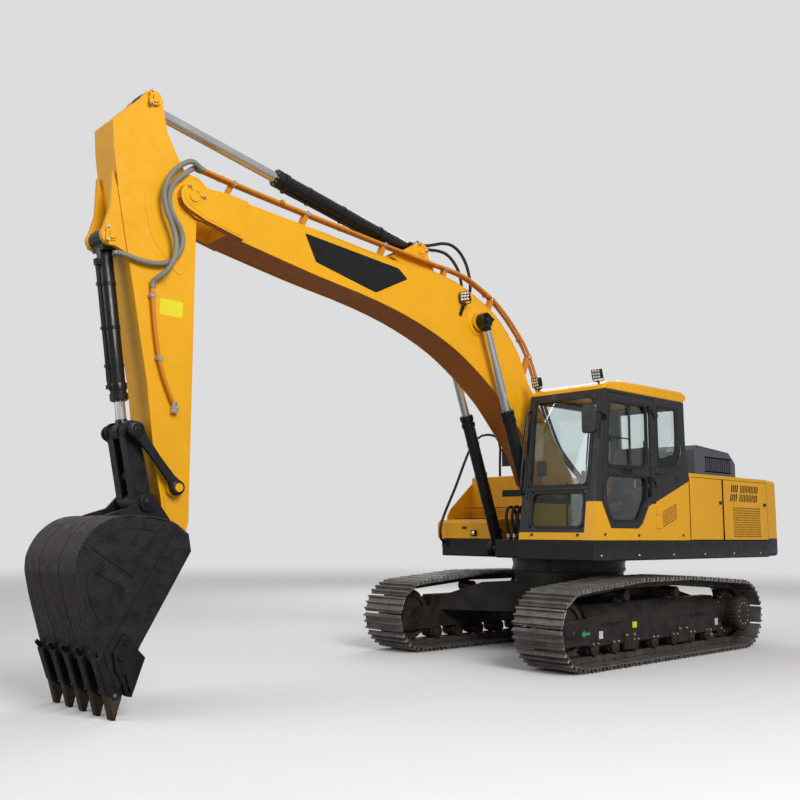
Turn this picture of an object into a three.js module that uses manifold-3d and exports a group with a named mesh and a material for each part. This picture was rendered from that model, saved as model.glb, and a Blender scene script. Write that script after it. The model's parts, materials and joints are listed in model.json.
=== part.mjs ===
// Crawler excavator, about 22 tonnes, standing on its tracks with the bucket hanging just clear of
// the ground. Millimetres, X forward, Y to the left, Z up. Every piece is laid out round the swing
// axis, and the last line of the model moves the origin under the middle of the whole machine.
import * as THREE from 'three';
import { mergeVertices } from 'three/addons/utils/BufferGeometryUtils.js';
import Module from 'manifold-3d';

const wasm = await Module();
wasm.setup();

// ---------------------------------------------------------------- clearances
const gap = 0.3; // between pieces that sit on each other
const play = 0.5; // beside and round a pin, round a rod
const clear = 6; // between pieces that move past each other

// ---------------------------------------------------------------- undercarriage
const track_gauge = 2200; // between the middles of the two tracks
const shoe_width = 600;
const tumbler_distance = 3270; // idler axle to sprocket axle
const shoe_count = 45;
const pitch_radius = 317; // track pins round the idler and the sprocket
const link_half = 35; // half the height of a track link
const shoe_height = 50; // shoe plate and grouser bars together
const shoe_notch = 8; // between two shoes on a straight run
const rail_inner = 45; // from the middle of the track to its link rails
const rail_outer = 90;
const carrier_pins = 800; // height of the track pins over the carrier rollers
const carrier_places = [595, -395];
const roller_places = [1208, 848, 484, 104, -298, -664, -1027];
const roller_radius = 70;
const frame_half_width = 115;
const frame_front = 1330;
const frame_rear = -1300;
const frame_bottom = 250;
const frame_shoulder = 490;
const frame_top = 620;
const yoke_front = 1800;
const sprocket_teeth = 21;
const hub_radius = 190;
const hub_face = 250; // hub cover, out from the middle of the track
const ring_radius = 660; // swing ring
const ring_bore = 540;
const ring_bottom = 900;
const deck_bottom = 1060; // underside of the revolving frame
const deck_top = 1270;

// ---------------------------------------------------------------- revolving body
const half_width = 1340;
const body_rear = -2400;
const cab_front = 1386;
const cab_inner = 385;
const side_front = 880; // right front of the deck
const nose_front = 1060; // deck between the boom cylinders
const body_top = 2030;
const panel = 40;
const doors_front = -500;
const doors_split = -1250;
const tank_inner = 420;
const tank_front = 240;
const tank_split = -600;
const tank_top = 2045;
const tail_radius = 4100;
const tail_middle = -2900;
const tail_corner = 1180; // half the width of the curved tail
const hood_front = -1290;
const hood_rear = -2300;
const hood_left = 985;
const hood_right = -340;
const hood_top = 2420;
const hood_rod = 14;
const engine_side = 700; // outer end of the wall between battery and engine bays
const door_bottom = deck_top + clear;
const door_top = body_top - panel - clear;
const hinge_out = half_width + 14;
const hinge_rod = 10;
const hinge_inset = hinge_rod + clear;
const knuckle_radius = 12; // side door and cab door hinges
const knuckle_height = 45;
const cab_rear = -490;
const cab_bottom = deck_top + gap;
const cab_eaves = 2830; // where the roof sits
const cab_wall = 50;
const windshield = { y: [448, 1240], z: [1815, 2770] };
const lower_windshield = { y: [510, 1210], z: [1385, 1775] };
const right_window = [[-300, 1720], [1200, 1720], [1090, 2750], [-300, 2750]];
const quarter_window = [[-290, 2060], [150, 2060], [150, 2750], [-290, 2750]];
const rear_window = { y: [500, 1230], z: [2090, 2750] };
const door_hinge = [205, hinge_out];
const door_hinge_heights = [1900, 2650];
const seat_middle = 870;
const seat_front = 560;

// ---------------------------------------------------------------- working arm
const foot_pin = [150, 1700];
const boom_length = 5740;
const boom_angle = 24.7;
const arm_length = 2925;
const arm_angle = -89.3;
const arm_half = 165;
const boom_half = 200;
const plate_inner = boom_half + 0.5; // the plates that hold the boom's foot
const plate_outer = plate_inner + 27.5;
const boom_ram_base = [905, 1158];
const boom_ram_eye = [2310, 1030]; // on the boom, from its foot pin
const boom_ram_plane = boom_half + 102;
const arm_ram_base = [3290, 1295]; // on the boom
const arm_ram_eye = [-750, 380]; // on the arm, from its boom pin
const bucket_ram_base = [470, 665]; // on the arm
const side_link_pin = [2425, 20]; // on the arm
const link_pin = [1995, 400]; // top of the side links at rest, on the arm
const bucket_link_pin = [255, 375]; // on the bucket, from its arm pin
const bucket_half = 520; // at its mouth
const bucket_taper = 0.09; // narrower by this share of the depth on each side
const bucket_plate = 22;
const tooth_count = 5;
const tooth_pitch = 232;
const ear_inner = arm_half + 5 + play;
const ear_outer = ear_inner + 38;
const lever_low = ear_outer + clear;
const lever_high = lever_low + 30;

// hydraulic cylinders, drawn along X from the base eye
const boom_ram = {
  tube_length: 1606, tube_radius: 67, rod_radius: 47, rod_start: 958, eye_half: 50, eye_radius: 80,
  pin_radius: 35, rod_eye_half: 48, rod_eye_radius: 85, port: [[165, 215], [-30, 30], [40, 95]],
};
const arm_ram = {
  tube_length: 1840, tube_radius: 75, rod_radius: 50, rod_start: 1380, eye_half: 85, eye_radius: 90,
  pin_radius: 40, rod_eye_half: 60, rod_eye_radius: 90, port: [[10, 70], [-55, 55], [50, 145]],
};
const bucket_ram = {
  tube_length: 1310, tube_radius: 62, rod_radius: 42, rod_start: 180, eye_half: 104, eye_radius: 75,
  pin_radius: 35, rod_eye_half: 44, rod_eye_radius: 72, port: [[120, 170], [40, 120], [-50, 0]],
};

// ---------------------------------------------------------------- pipes and hoses
const pipe_radius = 17;
const arm_hose_radius = 24;
const front_hose_radius = 18;
const mirror_tube = 12;
const pipe_planes = [boom_half - 4, boom_half - 54]; // on the left of the boom's top
const nose_planes = [arm_half + 72, arm_half + 23]; // beside the arm's path at the boom's nose
const nose_clamp_place = boom_length - 260;
const pipe_clamps = [4700, 3780, 2950, 2200, 1390];
const pipe_route = [[boom_length + 28, 264], [boom_length - 297, 369], [4796, 615], [3409, 1115],
  [2700, 1375], [2480, 1405], [2120, 1408], [1748, 1325], [1431, 1190], [1100, 930]];
const arm_pipe_route = [[840, 312], [890, 312], [1438, 212], [1700, 100], [1770, 62]];
const arm_pipe_clamps = [900, 1400];
const arm_pipe_plane = arm_half + 31;

// ================================================================ shapes
function solid(geometry) {
  geometry.deleteAttribute('normal');
  geometry.deleteAttribute('uv');
  const merged = mergeVertices(geometry, 1e-3);
  const mesh = new wasm.Mesh({
    numProp: 3,
    vertProperties: merged.attributes.position.array,
    triVerts: new Uint32Array(merged.index.array),
  });
  return new wasm.Manifold(mesh);
}

function geometry_of(body) {
  const mesh = body.getMesh();
  const geometry = new THREE.BufferGeometry();
  geometry.setAttribute('position', new THREE.BufferAttribute(mesh.vertProperties, 3));
  geometry.setIndex(new THREE.BufferAttribute(mesh.triVerts, 1));
  geometry.computeVertexNormals();
  return geometry;
}

function join(...bodies) {
  return bodies.reduce((whole, body) => whole.add(body));
}

function cut(body, ...tools) {
  return tools.reduce((rest, tool) => rest.subtract(tool), body);
}

function shape_of(points) {
  return points instanceof THREE.Shape ? points : new THREE.Shape(points.map(([x,
    y]) => new THREE.Vector2(x, y)));
}

function extruded(points, depth) {
  return new THREE.ExtrudeGeometry(shape_of(points), { depth, bevelEnabled: false, curveSegments: 8 });
}

// the same with every edge of both ends rounded
function rounded(points, depth, radius) {
  const bevel = { bevelThickness: radius, bevelSize: radius, bevelOffset: -radius, bevelSegments: 3 };
  const geometry = new THREE.ExtrudeGeometry(shape_of(points), { depth: depth - 2 * radius,
    curveSegments: 8, ...bevel });
  return geometry.translate(0, 0, radius);
}

// an outline of [x, z] points, from y = low to y = high
function side(points, low, high) {
  return solid(extruded(points, high - low).rotateX(Math.PI / 2).translate(0, high, 0));
}

// an outline of [x, y] points, from z = low to z = high
function plan(points, low, high) {
  return solid(extruded(points, high - low).translate(0, 0, low));
}

function rounded_plan(points, low, high, radius) {
  return solid(rounded(points, high - low, radius).translate(0, 0, low));
}

function rounded_side(points, low, high, radius) {
  return solid(rounded(points, high - low, radius).rotateX(Math.PI / 2).translate(0, high, 0));
}

// an outline of [y, z] points, from x = low to x = high
function section(points, low, high) {
  const turn = new THREE.Matrix4().makeBasis(
    new THREE.Vector3(0, 1, 0), new THREE.Vector3(0, 0, 1), new THREE.Vector3(1, 0, 0));
  return solid(extruded(points, high - low).applyMatrix4(turn).translate(low, 0, 0));
}

function block(x, y, z) {
  const box = new THREE.BoxGeometry(x[1] - x[0], y[1] - y[0], z[1] - z[0]);
  return solid(box.translate((x[0] + x[1]) / 2, (y[0] + y[1]) / 2, (z[0] + z[1]) / 2));
}

// a round bar across the machine
function pin([x, z], radius, low, high, sides = 16) {
  const bar = new THREE.CylinderGeometry(radius, radius, high - low, sides);
  return solid(bar.translate(x, (low + high) / 2, z));
}

// the hole that a round bar turns in, whose flats stay clear of the bar's corners
function bore(place, radius, low, high, sides = 16) {
  return pin(place, (radius + play) / Math.cos(Math.PI / sides), low, high, sides);
}

// a round bar along X
function bar(radius, low, high, sides = 16) {
  const shaft = new THREE.CylinderGeometry(radius, radius, high - low, sides);
  return solid(shaft.rotateZ(-Math.PI / 2).translate((low + high) / 2, 0, 0));
}

function post([x, y], radius, low, high, sides = 12) {
  const shaft = new THREE.CylinderGeometry(radius, radius, high - low, sides);
  return solid(shaft.rotateX(Math.PI / 2).translate(x, y, (low + high) / 2));
}

function turned(profile, sides = 24) {
  const points = profile.map(([radius, along]) => new THREE.Vector2(radius, along));
  return solid(new THREE.LatheGeometry(points, sides));
}

function moved(body, x, y, z) {
  return solid(geometry_of(body).translate(x, y, z));
}

function mirrored(body) {
  const geometry = geometry_of(body).scale(1, -1, 1);
  const index = geometry.index.array;
  for (let i = 0; i < index.length; i += 3) {
    [index[i + 1], index[i + 2]] = [index[i + 2], index[i + 1]];
  }
  return solid(geometry);
}

function both_sides(body) {
  return join(body, mirrored(body));
}

function tube(points, radius, sides = 8, steps = 24) {
  const path = new THREE.CatmullRomCurve3(points.map((p) => new THREE.Vector3(...p)));
  const ring = [];
  for (let i = 0; i < sides; i += 1) {
    const angle = (2 * Math.PI * i) / sides;
    ring.push([radius * Math.cos(angle), radius * Math.sin(angle)]);
  }
  return solid(new THREE.ExtrudeGeometry(shape_of(ring), { steps, bevelEnabled: false,
    extrudePath: path }));
}

// a closed outline moved outward by the same distance on every side
function offset(points, distance) {
  const count = points.length;
  return points.map((point, i) => {
    const before = points[(i + count - 1) % count];
    const after = points[(i + 1) % count];
    const first = new THREE.Vector2(point[1] - before[1], before[0] - point[0]).normalize();
    const second = new THREE.Vector2(after[1] - point[1], point[0] - after[0]).normalize();
    const middle = first.clone().add(second).normalize();
    const reach = distance / middle.dot(first);
    return [point[0] + middle.x * reach, point[1] + middle.y * reach];
  });
}

// ================================================================ placing
const radians = (degrees) => (degrees * Math.PI) / 180;

// a point given along and above a line that starts at a pin and rises at an angle
function along([x, z], angle, [forward, up]) {
  const c = Math.cos(radians(angle));
  const s = Math.sin(radians(angle));
  return [x + forward * c - up * s, z + forward * s + up * c];
}

const arm_pin = along(foot_pin, boom_angle, [boom_length, 0]);
const bucket_pin = along(arm_pin, arm_angle, [arm_length, 0]);

function distance([ax, az], [bx, bz]) {
  return Math.hypot(bx - ax, bz - az);
}

function heading([ax, az], [bx, bz]) {
  return (Math.atan2(bz - az, bx - ax) * 180) / Math.PI;
}

function part(group, name, body, color, roughness = 0.5, metalness = 0.3) {
  const material = new THREE.MeshStandardMaterial({ color, roughness, metalness });
  const mesh = new THREE.Mesh(geometry_of(body), material);
  mesh.name = name;
  group.add(mesh);
}

// a group whose own X runs at an angle in the side view, from a pin
function pinned([x, z], angle, y = 0) {
  const group = new THREE.Group();
  group.position.set(x, y, z);
  group.rotation.y = -radians(angle);
  return group;
}

const yellow = 0xe0a41c;
const charcoal = 0x1d1f22;
const steel = 0x55504a;
const black = 0x17181a;
const chrome = 0xc8ccd0;
const tinted = 0x4a6a6c;
const rubber = 0x2a2926;

// ================================================================ undercarriage
const axle_height = pitch_radius + link_half + shoe_height;
const axle_front = tumbler_distance / 2;
const track_middle = track_gauge / 2;

// places of the track pins, round the loop from under the sprocket
function track_pins() {
  const upper = carrier_pins - axle_height;
  const tangent = (reach) => Math.acos(pitch_radius / Math.hypot(reach, upper));
  const front_reach = carrier_places[0] - axle_front;
  const rear_reach = carrier_places[1] + axle_front;
  const front_end = Math.atan2(upper, front_reach) - tangent(front_reach);
  const rear_start = Math.atan2(upper, rear_reach) + tangent(rear_reach);
  const path = new THREE.Path();
  path.moveTo(-axle_front, axle_height - pitch_radius);
  path.lineTo(axle_front, axle_height - pitch_radius);
  path.absarc(axle_front, axle_height, pitch_radius, -Math.PI / 2, front_end);
  path.lineTo(carrier_places[0], carrier_pins);
  path.lineTo(carrier_places[1], carrier_pins);
  path.absarc(-axle_front, axle_height, pitch_radius, rear_start, 1.5 * Math.PI);
  return path.getSpacedPoints(shoe_count).slice(0, shoe_count).map((p) => [p.x, p.y]);
}

const chain = track_pins();
const track_pitch = distance(chain[3], chain[4]);
const rail_radius = Math.sqrt(pitch_radius ** 2 - (track_pitch / 2) ** 2) - link_half;

// the outer edge of the loop: one flat shoe between every two pins, with a notch at each pin
function shoe_outline() {
  const notches = offset(chain, link_half + 10);
  const points = [];
  chain.forEach((start, i) => {
    const next = (i + 1) % chain.length;
    const end = chain[next];
    const direction = new THREE.Vector2(end[0] - start[0], end[1] - start[1]).normalize();
    const high = link_half + shoe_height;
    for (const [from, sign] of [[start, 1], [end, -1]]) {
      const inset = (sign * shoe_notch) / 2;
      points.push([
        from[0] + direction.x * inset + direction.y * high,
        from[1] + direction.y * inset - direction.x * high,
      ]);
    }
    points.push(notches[next]);
  });
  return points;
}

function loop_ring(outer, inner, low, high) {
  return cut(side(outer, low, high), side(inner, low - 10, high + 10));
}

function track() {
  const edge = shoe_width / 2;
  const shoes = loop_ring(shoe_outline(), offset(chain, link_half), track_middle - edge,
    track_middle + edge);
  const rail = (low, high) =>
    loop_ring(offset(chain, link_half + 2), offset(chain, -link_half), track_middle + low,
      track_middle + high);
  return join(shoes, rail(rail_inner, rail_outer), rail(-rail_outer, -rail_inner));
}

function track_frame() {
  const inner = track_middle - frame_half_width;
  const outer = track_middle + frame_half_width;
  const beam = section([
    [inner, frame_bottom], [outer, frame_bottom], [outer, frame_shoulder],
    [track_middle + 20, frame_top], [inner, frame_top],
  ], frame_rear, frame_front);
  const skirt = block([frame_rear, frame_front], [outer - 15, outer],
    [frame_bottom - 30, frame_bottom + 10]);
  const roller_height = axle_height - pitch_radius + link_half + gap + roller_radius;
  const rollers = roller_places.map((x) =>
    pin([x, roller_height], roller_radius, inner + 5, outer - 5, 12));
  const carrier_radius = 54;
  const rise = (carrier_pins - axle_height - pitch_radius) / (axle_front - carrier_places[0]);
  const carrier_height = carrier_pins - link_half - (rise * track_pitch) / 2 - gap - carrier_radius;
  const carriers = carrier_places.flatMap((x) => [
    pin([x, carrier_height], carrier_radius, inner + 5, outer - 20, 12),
    block([x - 45, x + 45], [track_middle - 50, track_middle + 10], [frame_top - 10, carrier_height]),
  ]);
  const yoke = [[-130, -105], [105, 130]].map(([low, high]) =>
    side([[frame_front - 20, 240], [yoke_front, 240], [yoke_front, 480], [frame_front - 20, 500]],
      track_middle + low, track_middle + high));
  const mount = join(
    block([-axle_front, frame_rear + 20], [inner, inner + 30],
      [axle_height - hub_radius, axle_height + hub_radius]),
    pin([-axle_front, axle_height], hub_radius, inner, inner + 30, 24));
  const guards = [600, -450].map((x) =>
    block([x - 110, x + 110], [outer - 12, outer + 12], [150, frame_bottom + 60]));
  return join(beam, skirt, ...rollers, ...carriers, ...yoke, mount, ...guards);
}

function idler() {
  const axle = 105 - gap;
  const flange = rail_inner - 5;
  const rim = rail_radius - gap;
  const half = [[0, axle], [45, axle], [45, 62], [rim - 50, 62], [rim - 50, rail_outer], [rim, rail_outer],
    [rim, flange], [rim + 32, flange]];
  const other = half.map(([radius, y]) => [radius, -y]).reverse();
  return moved(turned([...half, ...other].reverse(), 20), axle_front, track_middle, axle_height);
}

function sprocket() {
  const teeth = [];
  const tip = pitch_radius - 4;
  const root = rail_radius - 18;
  for (let i = 0; i < sprocket_teeth; i += 1) {
    for (const [share, radius] of [[0, root], [0.35, root], [0.55, tip], [0.8, tip]]) {
      const angle = (2 * Math.PI * (i + share)) / sprocket_teeth;
      teeth.push([radius * Math.cos(angle) - axle_front, radius * Math.sin(angle) + axle_height]);
    }
  }
  const centre = [-axle_front, axle_height];
  const inner = track_middle - frame_half_width + 30 + gap;
  return join(
    side(teeth, track_middle - 25, track_middle + 25),
    pin(centre, hub_radius - 15, inner, track_middle + 120, 20),
    pin(centre, hub_radius, track_middle + 110, track_middle + hub_face, 20));
}

function centre_frame() {
  const reach = track_middle - frame_half_width - gap;
  const leg = plan([[200, 0], [560, 0], [1180, reach], [760, reach], [0, 420], [0, 0]], 440, 800);
  const slope = section([[0, 400], [reach, 440], [reach, 600], [560, 770], [0, 770]], -1300, 1300);
  const quarter = join(leg, block([0, 620], [0, 400], [440, 770])).intersect(slope);
  const half = join(quarter, block([-620, 10], [0, 400],
    [440, 770]).intersect(slope), rear_leg(reach, slope));
  return join(both_sides(half), post([0, 0], ring_radius - 20, 440, ring_bottom, 32));
}

function rear_leg(reach, slope) {
  return plan([[-200, 0], [0, 0], [0, 420], [-760, reach], [-1180, reach],
    [-560, 0]], 440, 800).intersect(slope);
}

function swing_ring() {
  return cut(
    post([0, 0], ring_radius, ring_bottom + gap, deck_bottom - play, 40),
    post([0, 0], ring_bore, ring_bottom - 10, deck_bottom + 10, 40));
}

// ================================================================ revolving frame and body
function deck() {
  const outline = [
    [body_rear, -half_width], [780, -half_width], [side_front, -half_width + 100], [side_front, -cab_inner],
    [790, -cab_inner], [790, -plate_outer], [nose_front, -plate_outer], [nose_front, plate_outer],
    [790, plate_outer], [790, cab_inner], [cab_front, cab_inner], [cab_front, half_width],
    [body_rear, half_width],
  ];
  const wall = 60;
  const floor = deck_bottom + panel;
  const pocket = (x, y) => block(x, y, [floor, deck_top + 10]);
  const tray = cut(rounded_plan(outline, deck_bottom, deck_top, 16),
    pocket([body_rear + wall, 700], [-half_width + wall, -cab_inner]),
    pocket([body_rear + wall, cab_front - wall], [cab_inner + wall, half_width - wall]),
    pocket([body_rear + wall, -400], [-cab_inner + wall, cab_inner]));
  const foot = side([
    [-330, floor], [1040, floor], [nose_front, 1180], [980, 1262], [600, 1330], [300, 1740],
    ...arc(foot_pin, 140, 20, 160), [-60, 1600], [-330, 1300],
  ], plate_inner, plate_outer);
  const inner_lug = pin(boom_ram_base, 95, plate_inner, boom_ram_plane - 50 - play);
  const outer_lug = pin(boom_ram_base, 95, boom_ram_plane + 50 + play, cab_inner + 35);
  const pins = pin(boom_ram_base, 35, plate_inner, cab_inner + 20);
  const half = join(foot, inner_lug, outer_lug, pins);
  return join(tray, both_sides(half), pin(foot_pin, 45, -plate_outer - 20, plate_outer + 20));
}

function arc([x, z], radius, start, end, steps = 6) {
  const points = [];
  for (let i = 0; i <= steps; i += 1) {
    const angle = radians(start + ((end - start) * i) / steps);
    points.push([x + radius * Math.cos(angle), z + radius * Math.sin(angle)]);
  }
  return points;
}

function counterweight() {
  const front = body_rear - gap;
  const sagitta = (y) => tail_radius - Math.sqrt(tail_radius ** 2 - y ** 2);
  const side_end = tail_middle + sagitta(tail_corner) + 100;
  const rear = [];
  for (let i = -6; i <= 6; i += 1) {
    const y = (tail_corner * i) / 6;
    rear.push([tail_middle + sagitta(y), y]);
  }
  const corner = [[side_end, half_width], [side_end - 45, half_width - 18],
    [side_end - 80, half_width - 70]];
  const outline = [[body_rear + 100, half_width], ...corner, ...rear.reverse(),
    ...corner.map(([x, y]) => [x, -y]).reverse(), [body_rear + 100, -half_width]];
  const ahead = block([front, body_rear + 300], [-half_width - 10, half_width + 10],
    [deck_bottom, body_top + 10]);
  return cut(rounded_plan(outline, deck_bottom + 10, body_top, 45), ahead);
}

// two stacked knuckles of a vertical hinge; the lower one belongs to the frame

function knuckles([x, y], heights, lower) {
  return heights.map((z) => {
    const low = lower ? z - knuckle_height : z + play;
    return post([x, y], knuckle_radius, low, low + knuckle_height, 10);
  });
}

function body_shell() {
  const bottom = deck_top + gap;
  const top = [body_top - panel, body_top];
  const inner = half_width - panel - 5;
  const rear = body_rear;
  const lid = cut(
    join(block([rear, doors_front], [-tank_inner + 10, half_width], top),
      block([rear, doors_split], [-half_width, 0], top)),
    block([hood_rear + 60, hood_front - 60], [hood_right + 60, hood_left - 60], [1900, 2100]));
  const bulkhead = block([doors_front - panel, doors_front], [-tank_inner + 10, inner], [bottom, body_top]);
  const divider = block([doors_split - 20, doors_split + 20], [engine_side, inner], [bottom, body_top]);
  const right = block([doors_split - panel, doors_split - gap], [-inner, 0], [bottom, body_top]);
  const spine = block([doors_split - 20, doors_front], [-tank_inner + 10, -tank_inner + 50],
    [bottom, body_top]);
  const rear_posts = [-1, 1].map((s) => {
    const y = [s * (inner - 60), s * inner].sort((a, b) => a - b);
    return block([rear, rear + 60], y, [bottom, body_top]);
  });
  return join(lid, bulkhead, divider, right, spine, ...rear_posts);
}


function engine_hood() {
  const low = body_top + play;
  const walls = [[hood_front, low], [hood_front, hood_top - 60], [hood_front - 60, hood_top],
    [hood_rear + 160, hood_top - 50], [hood_rear, hood_top - 170], [hood_rear, low]];
  const heel = [[hood_front - hood_rod, low], [hood_front, low + hood_rod]];
  const outer = side([...heel, ...walls.slice(1)], hood_right, hood_left);
  const inside = side(offset(walls, -panel), hood_right + panel, hood_left - panel);
  const mouth = block([hood_rear + panel, hood_front - panel], [hood_right + panel, hood_left - panel],
    [low - 10, low + 90]);
  const hinge = pin([hood_front - hood_rod, low + hood_rod], hood_rod, hood_right, hood_left, 12);
  return join(cut(outer, inside, mouth), hinge);
}

function engine_block() {
  return block([-2250, -1380], [-420, 560], [deck_top + gap, 1960]);
}


// a door in the long left wall that turns on a rod at its front edge
function side_door(front, rear) {
  const skin = block([rear + clear / 2, front - hinge_inset], [half_width - panel, half_width],
    [door_bottom, door_top]);
  return join(skin, post([front - hinge_inset, half_width], hinge_rod, deck_top + play,
    body_top - panel - play));
}

function fuel_tank() {
  const low = deck_top + gap;
  return block([tank_split + gap, tank_front], [-half_width, -tank_inner], [low, tank_top]);
}

function hydraulic_tank() {
  const low = deck_top + gap;
  const tank = block([doors_split + gap, tank_split], [-half_width, -tank_inner], [low, tank_top]);
  return join(tank, post([-900, -880], 90, tank_top - 5, tank_top + 30, 16));
}

function tool_box() {
  const low = deck_top + gap;
  const front = [[tank_front + gap, low], [side_front - 10, low], [side_front - 10, 1450],
    [side_front - 50, 1490],
    [700, 1500], [tank_front + gap, 1500]];
  const cheek = [[tank_front + gap, low], [700, low], [700, 1535], [640, 1630], [tank_front + gap, 1960]];
  return join(side(front, -half_width + 10, -tank_inner), side(cheek, -half_width, -half_width + 14));
}

// ================================================================ cab
const front_lean = (1386 - 1151) / (2806 - 1290);
const front_at = (z) => cab_front - (z - 1290) * front_lean;
const cab_outline = [
  [cab_rear, cab_bottom], [cab_front, cab_bottom], [front_at(cab_eaves), cab_eaves], [-430, cab_eaves],
  [-440, 2350], [cab_rear, 2030],
];
const door_outline = [
  [560, 1398], [1063, 1398], [1215, 1660], [1092, 2760], [1050, 2800], [205, 2800], [205, 1690],
    [352, 1637],
  [480, 1450],
];

function slanted(low, high, from_face, thickness) {
  const x = (z) => front_at(z) - from_face;
  return [[x(low) - thickness, low], [x(low), low], [x(high), high], [x(high) - thickness, high]];
}


function cab_shell() {
  const inside = [
    [cab_rear + cab_wall, cab_bottom + panel], [cab_front - 60, cab_bottom + panel],
    [front_at(3000) - 60, 3000], [-385, 3000], [-390, 2350], [cab_rear + cab_wall, 2030],
  ];
  const front_window = ({ y, z }) => side(slanted(z[0], z[1], -40, 140), y[0], y[1]);
  const outer = side(cab_outline, cab_inner, half_width);
  const shell = cut(outer,
    side(inside, cab_inner + cab_wall, half_width - cab_wall),
    front_window(windshield), front_window(lower_windshield),
    side(right_window, cab_inner - 10, cab_inner + cab_wall + 10),
    side(quarter_window, half_width - cab_wall - 10, half_width + 10),
    side(offset(door_outline, clear), half_width - cab_wall - 10, half_width + 10),
    block([cab_rear - 60, -380], rear_window.y, rear_window.z));
  const hinges = door_hinge_heights.map((z) =>
    block([door_hinge[0] - 60, door_hinge[0] - 8], [half_width - 10, hinge_out + 6],
      [z - knuckle_height, z]));
  return join(shell, ...hinges, ...knuckles(door_hinge, door_hinge_heights, true));
}

function cab_roof() {
  const low = cab_eaves + gap;
  const crown = [[-430, low], [front_at(cab_eaves), low], [1136, 2868], [1090, 2900], [1010, 2922],
    [750, 2945],
    [-400, 2957], [-488, 2925], [-500, 2875]];
  return rounded_side(crown, cab_inner, half_width, 22);
}

function cab_door() {
  const inside = half_width - panel;
  const opening = offset(door_outline, -75);
  const skin = side(door_outline, inside, half_width);
  const recess = side(offset(door_outline, -60), inside - 10, inside + 12);
  const bars = block([200, 1230], [inside + 12, half_width - 8], [1950, 2035]);
  const frame = join(cut(skin, side(opening, inside - 10, half_width + 10), recess),
    bars.intersect(side(offset(door_outline, -30), inside, half_width)));
  const hinges = door_hinge_heights.map((z) =>
    block([door_hinge[0], door_hinge[0] + 50], [half_width - 10, hinge_out + 6],
      [z + play, z + play + knuckle_height]));
  return join(frame, ...hinges, ...knuckles(door_hinge, door_hinge_heights, false));
}

function door_glass() {
  const inside = half_width - panel;
  return side(offset(door_outline, -60 - gap), inside + 4, inside + 12 - gap);
}

function front_glass({ y, z }) {
  return side(slanted(z[0] + gap, z[1] - gap, 20, 8), y[0] + gap, y[1] - gap);
}


// pedestal, with the control boxes and their levers on both sides of the seat
function seat_base() {
  const floor = cab_bottom + panel + gap;
  return join(block([60, 500], [seat_middle - 200, seat_middle + 200], [floor, 1480]),
    block([-20, 540], [seat_middle - 400, seat_middle + 400], [1480, 1540]),
    console(seat_middle + 330), console(seat_middle - 330));
}

function seat() {
  const low = 1540 + gap;
  const profile = [[0, low], [seat_front, low], [seat_front + 10, low + 90], [180, low + 110], [110, 2080],
    [90, 2330], [10, 2330], [-60, 2000]];
  return side(profile, seat_middle - 250, seat_middle + 250);
}

function console(middle) {
  const low = 1530;
  const box = side([[-10, low], [540, low], [560, 1760], [480, 1830], [60, 1800], [-10, 1700]],
    middle - 65, middle + 65);
  return join(box, post([470, middle], 22, 1800, 1960, 8));
}

function travel_levers() {
  const floor = cab_bottom + panel + gap;
  const pedal = (y) => join(block([950, 1130], [y - 60, y + 60], [floor + 40, floor + 65]),
    post([1020, y], 14, floor + 30, floor + 560, 8));
  return join(block([960, 1100], [seat_middle - 180, seat_middle + 180], [floor, floor + 50]),
    pedal(seat_middle - 110), pedal(seat_middle + 110));
}

// mirror on a bent tube, bolted to the side of the cab ahead of the door
function left_mirror() {
  const outside = half_width + 45;
  const foot = block([1112, 1172], [half_width + gap, half_width + 16], [2500, 2580]);
  const arm = tube([[1142, half_width + 8, 2540], [1150, half_width + 30, 2542], [1200, outside, 2550],
    [1290, outside, 2565], [1335, outside - 15, 2560], [1355, outside - 60, 2530]], mirror_tube, 6, 10);
  return join(foot, arm, block([1342, 1372], [outside - 175, outside + 10], [2345, 2655]));
}

// right grab rail, from the front of the deck up to the fuel tank, with the right mirror on it
function handrail() {
  const y = -1190;
  const rail = tube([[side_front + 12, y, 1204], [945, y, 1235], [965, y, 1400], [700, y, 1900],
    [386, y, 2451],
    [239, y, 2570], [120, y, 2601], [-80, y, 2590], [-150, y, 2500], [-150, y, 2250],
    [-150, y, tank_top + 12]],
  17, 6, 26);
  const feet = [
    block([side_front + gap, side_front + 20], [y - 40, y + 40], [1164, 1244]),
    block([-190, -110], [y - 40, y + 40], [tank_top + gap, tank_top + 20]),
  ];
  const mirror = join(block([-160, -140], [y, -1060], [2400, 2430]), block([-150, -120],
    [-1130, -950], [2200, 2560]));
  return join(rail, ...feet, mirror);
}

// ================================================================ hydraulic cylinders
// drawn along X from the base eye; total is the distance between the two eyes
function ram_tube(ram) {
  const { tube_length, tube_radius, rod_radius, eye_half, eye_radius, pin_radius, port } = ram;
  const barrel = join(bar(tube_radius, eye_radius + 15, tube_length),
    bar(tube_radius + 10, tube_length - 150, tube_length - 12));
  const neck = block([0, eye_radius + 30], [-eye_half, eye_half],
    [-tube_radius * 0.75, tube_radius * 0.75]);
  const eye = pin([0, 0], eye_radius, -eye_half, eye_half);
  return cut(join(barrel, neck, eye, block(...port)),
    bar(rod_radius + play, eye_radius + 20, tube_length + 10),
    bore([0, 0], pin_radius, -eye_half - 10, eye_half + 10));
}

function ram_rod(ram, total) {
  const { rod_start, rod_radius, rod_eye_half, rod_eye_radius } = ram;
  return join(bar(rod_radius, rod_start, total - rod_eye_radius + 15),
    pin([total, 0], rod_eye_radius, -rod_eye_half, rod_eye_half));
}

function add_ram(group, name, ram, base, eye, y = 0) {
  const place = pinned(base, heading(base, eye), y);
  group.add(place);
  part(place, `${name}_cylinder`, ram_tube(ram), black, 0.45, 0.2);
  part(place, `${name}_rod`, ram_rod(ram, distance(base, eye)), chrome, 0.15, 1);
}

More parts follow.
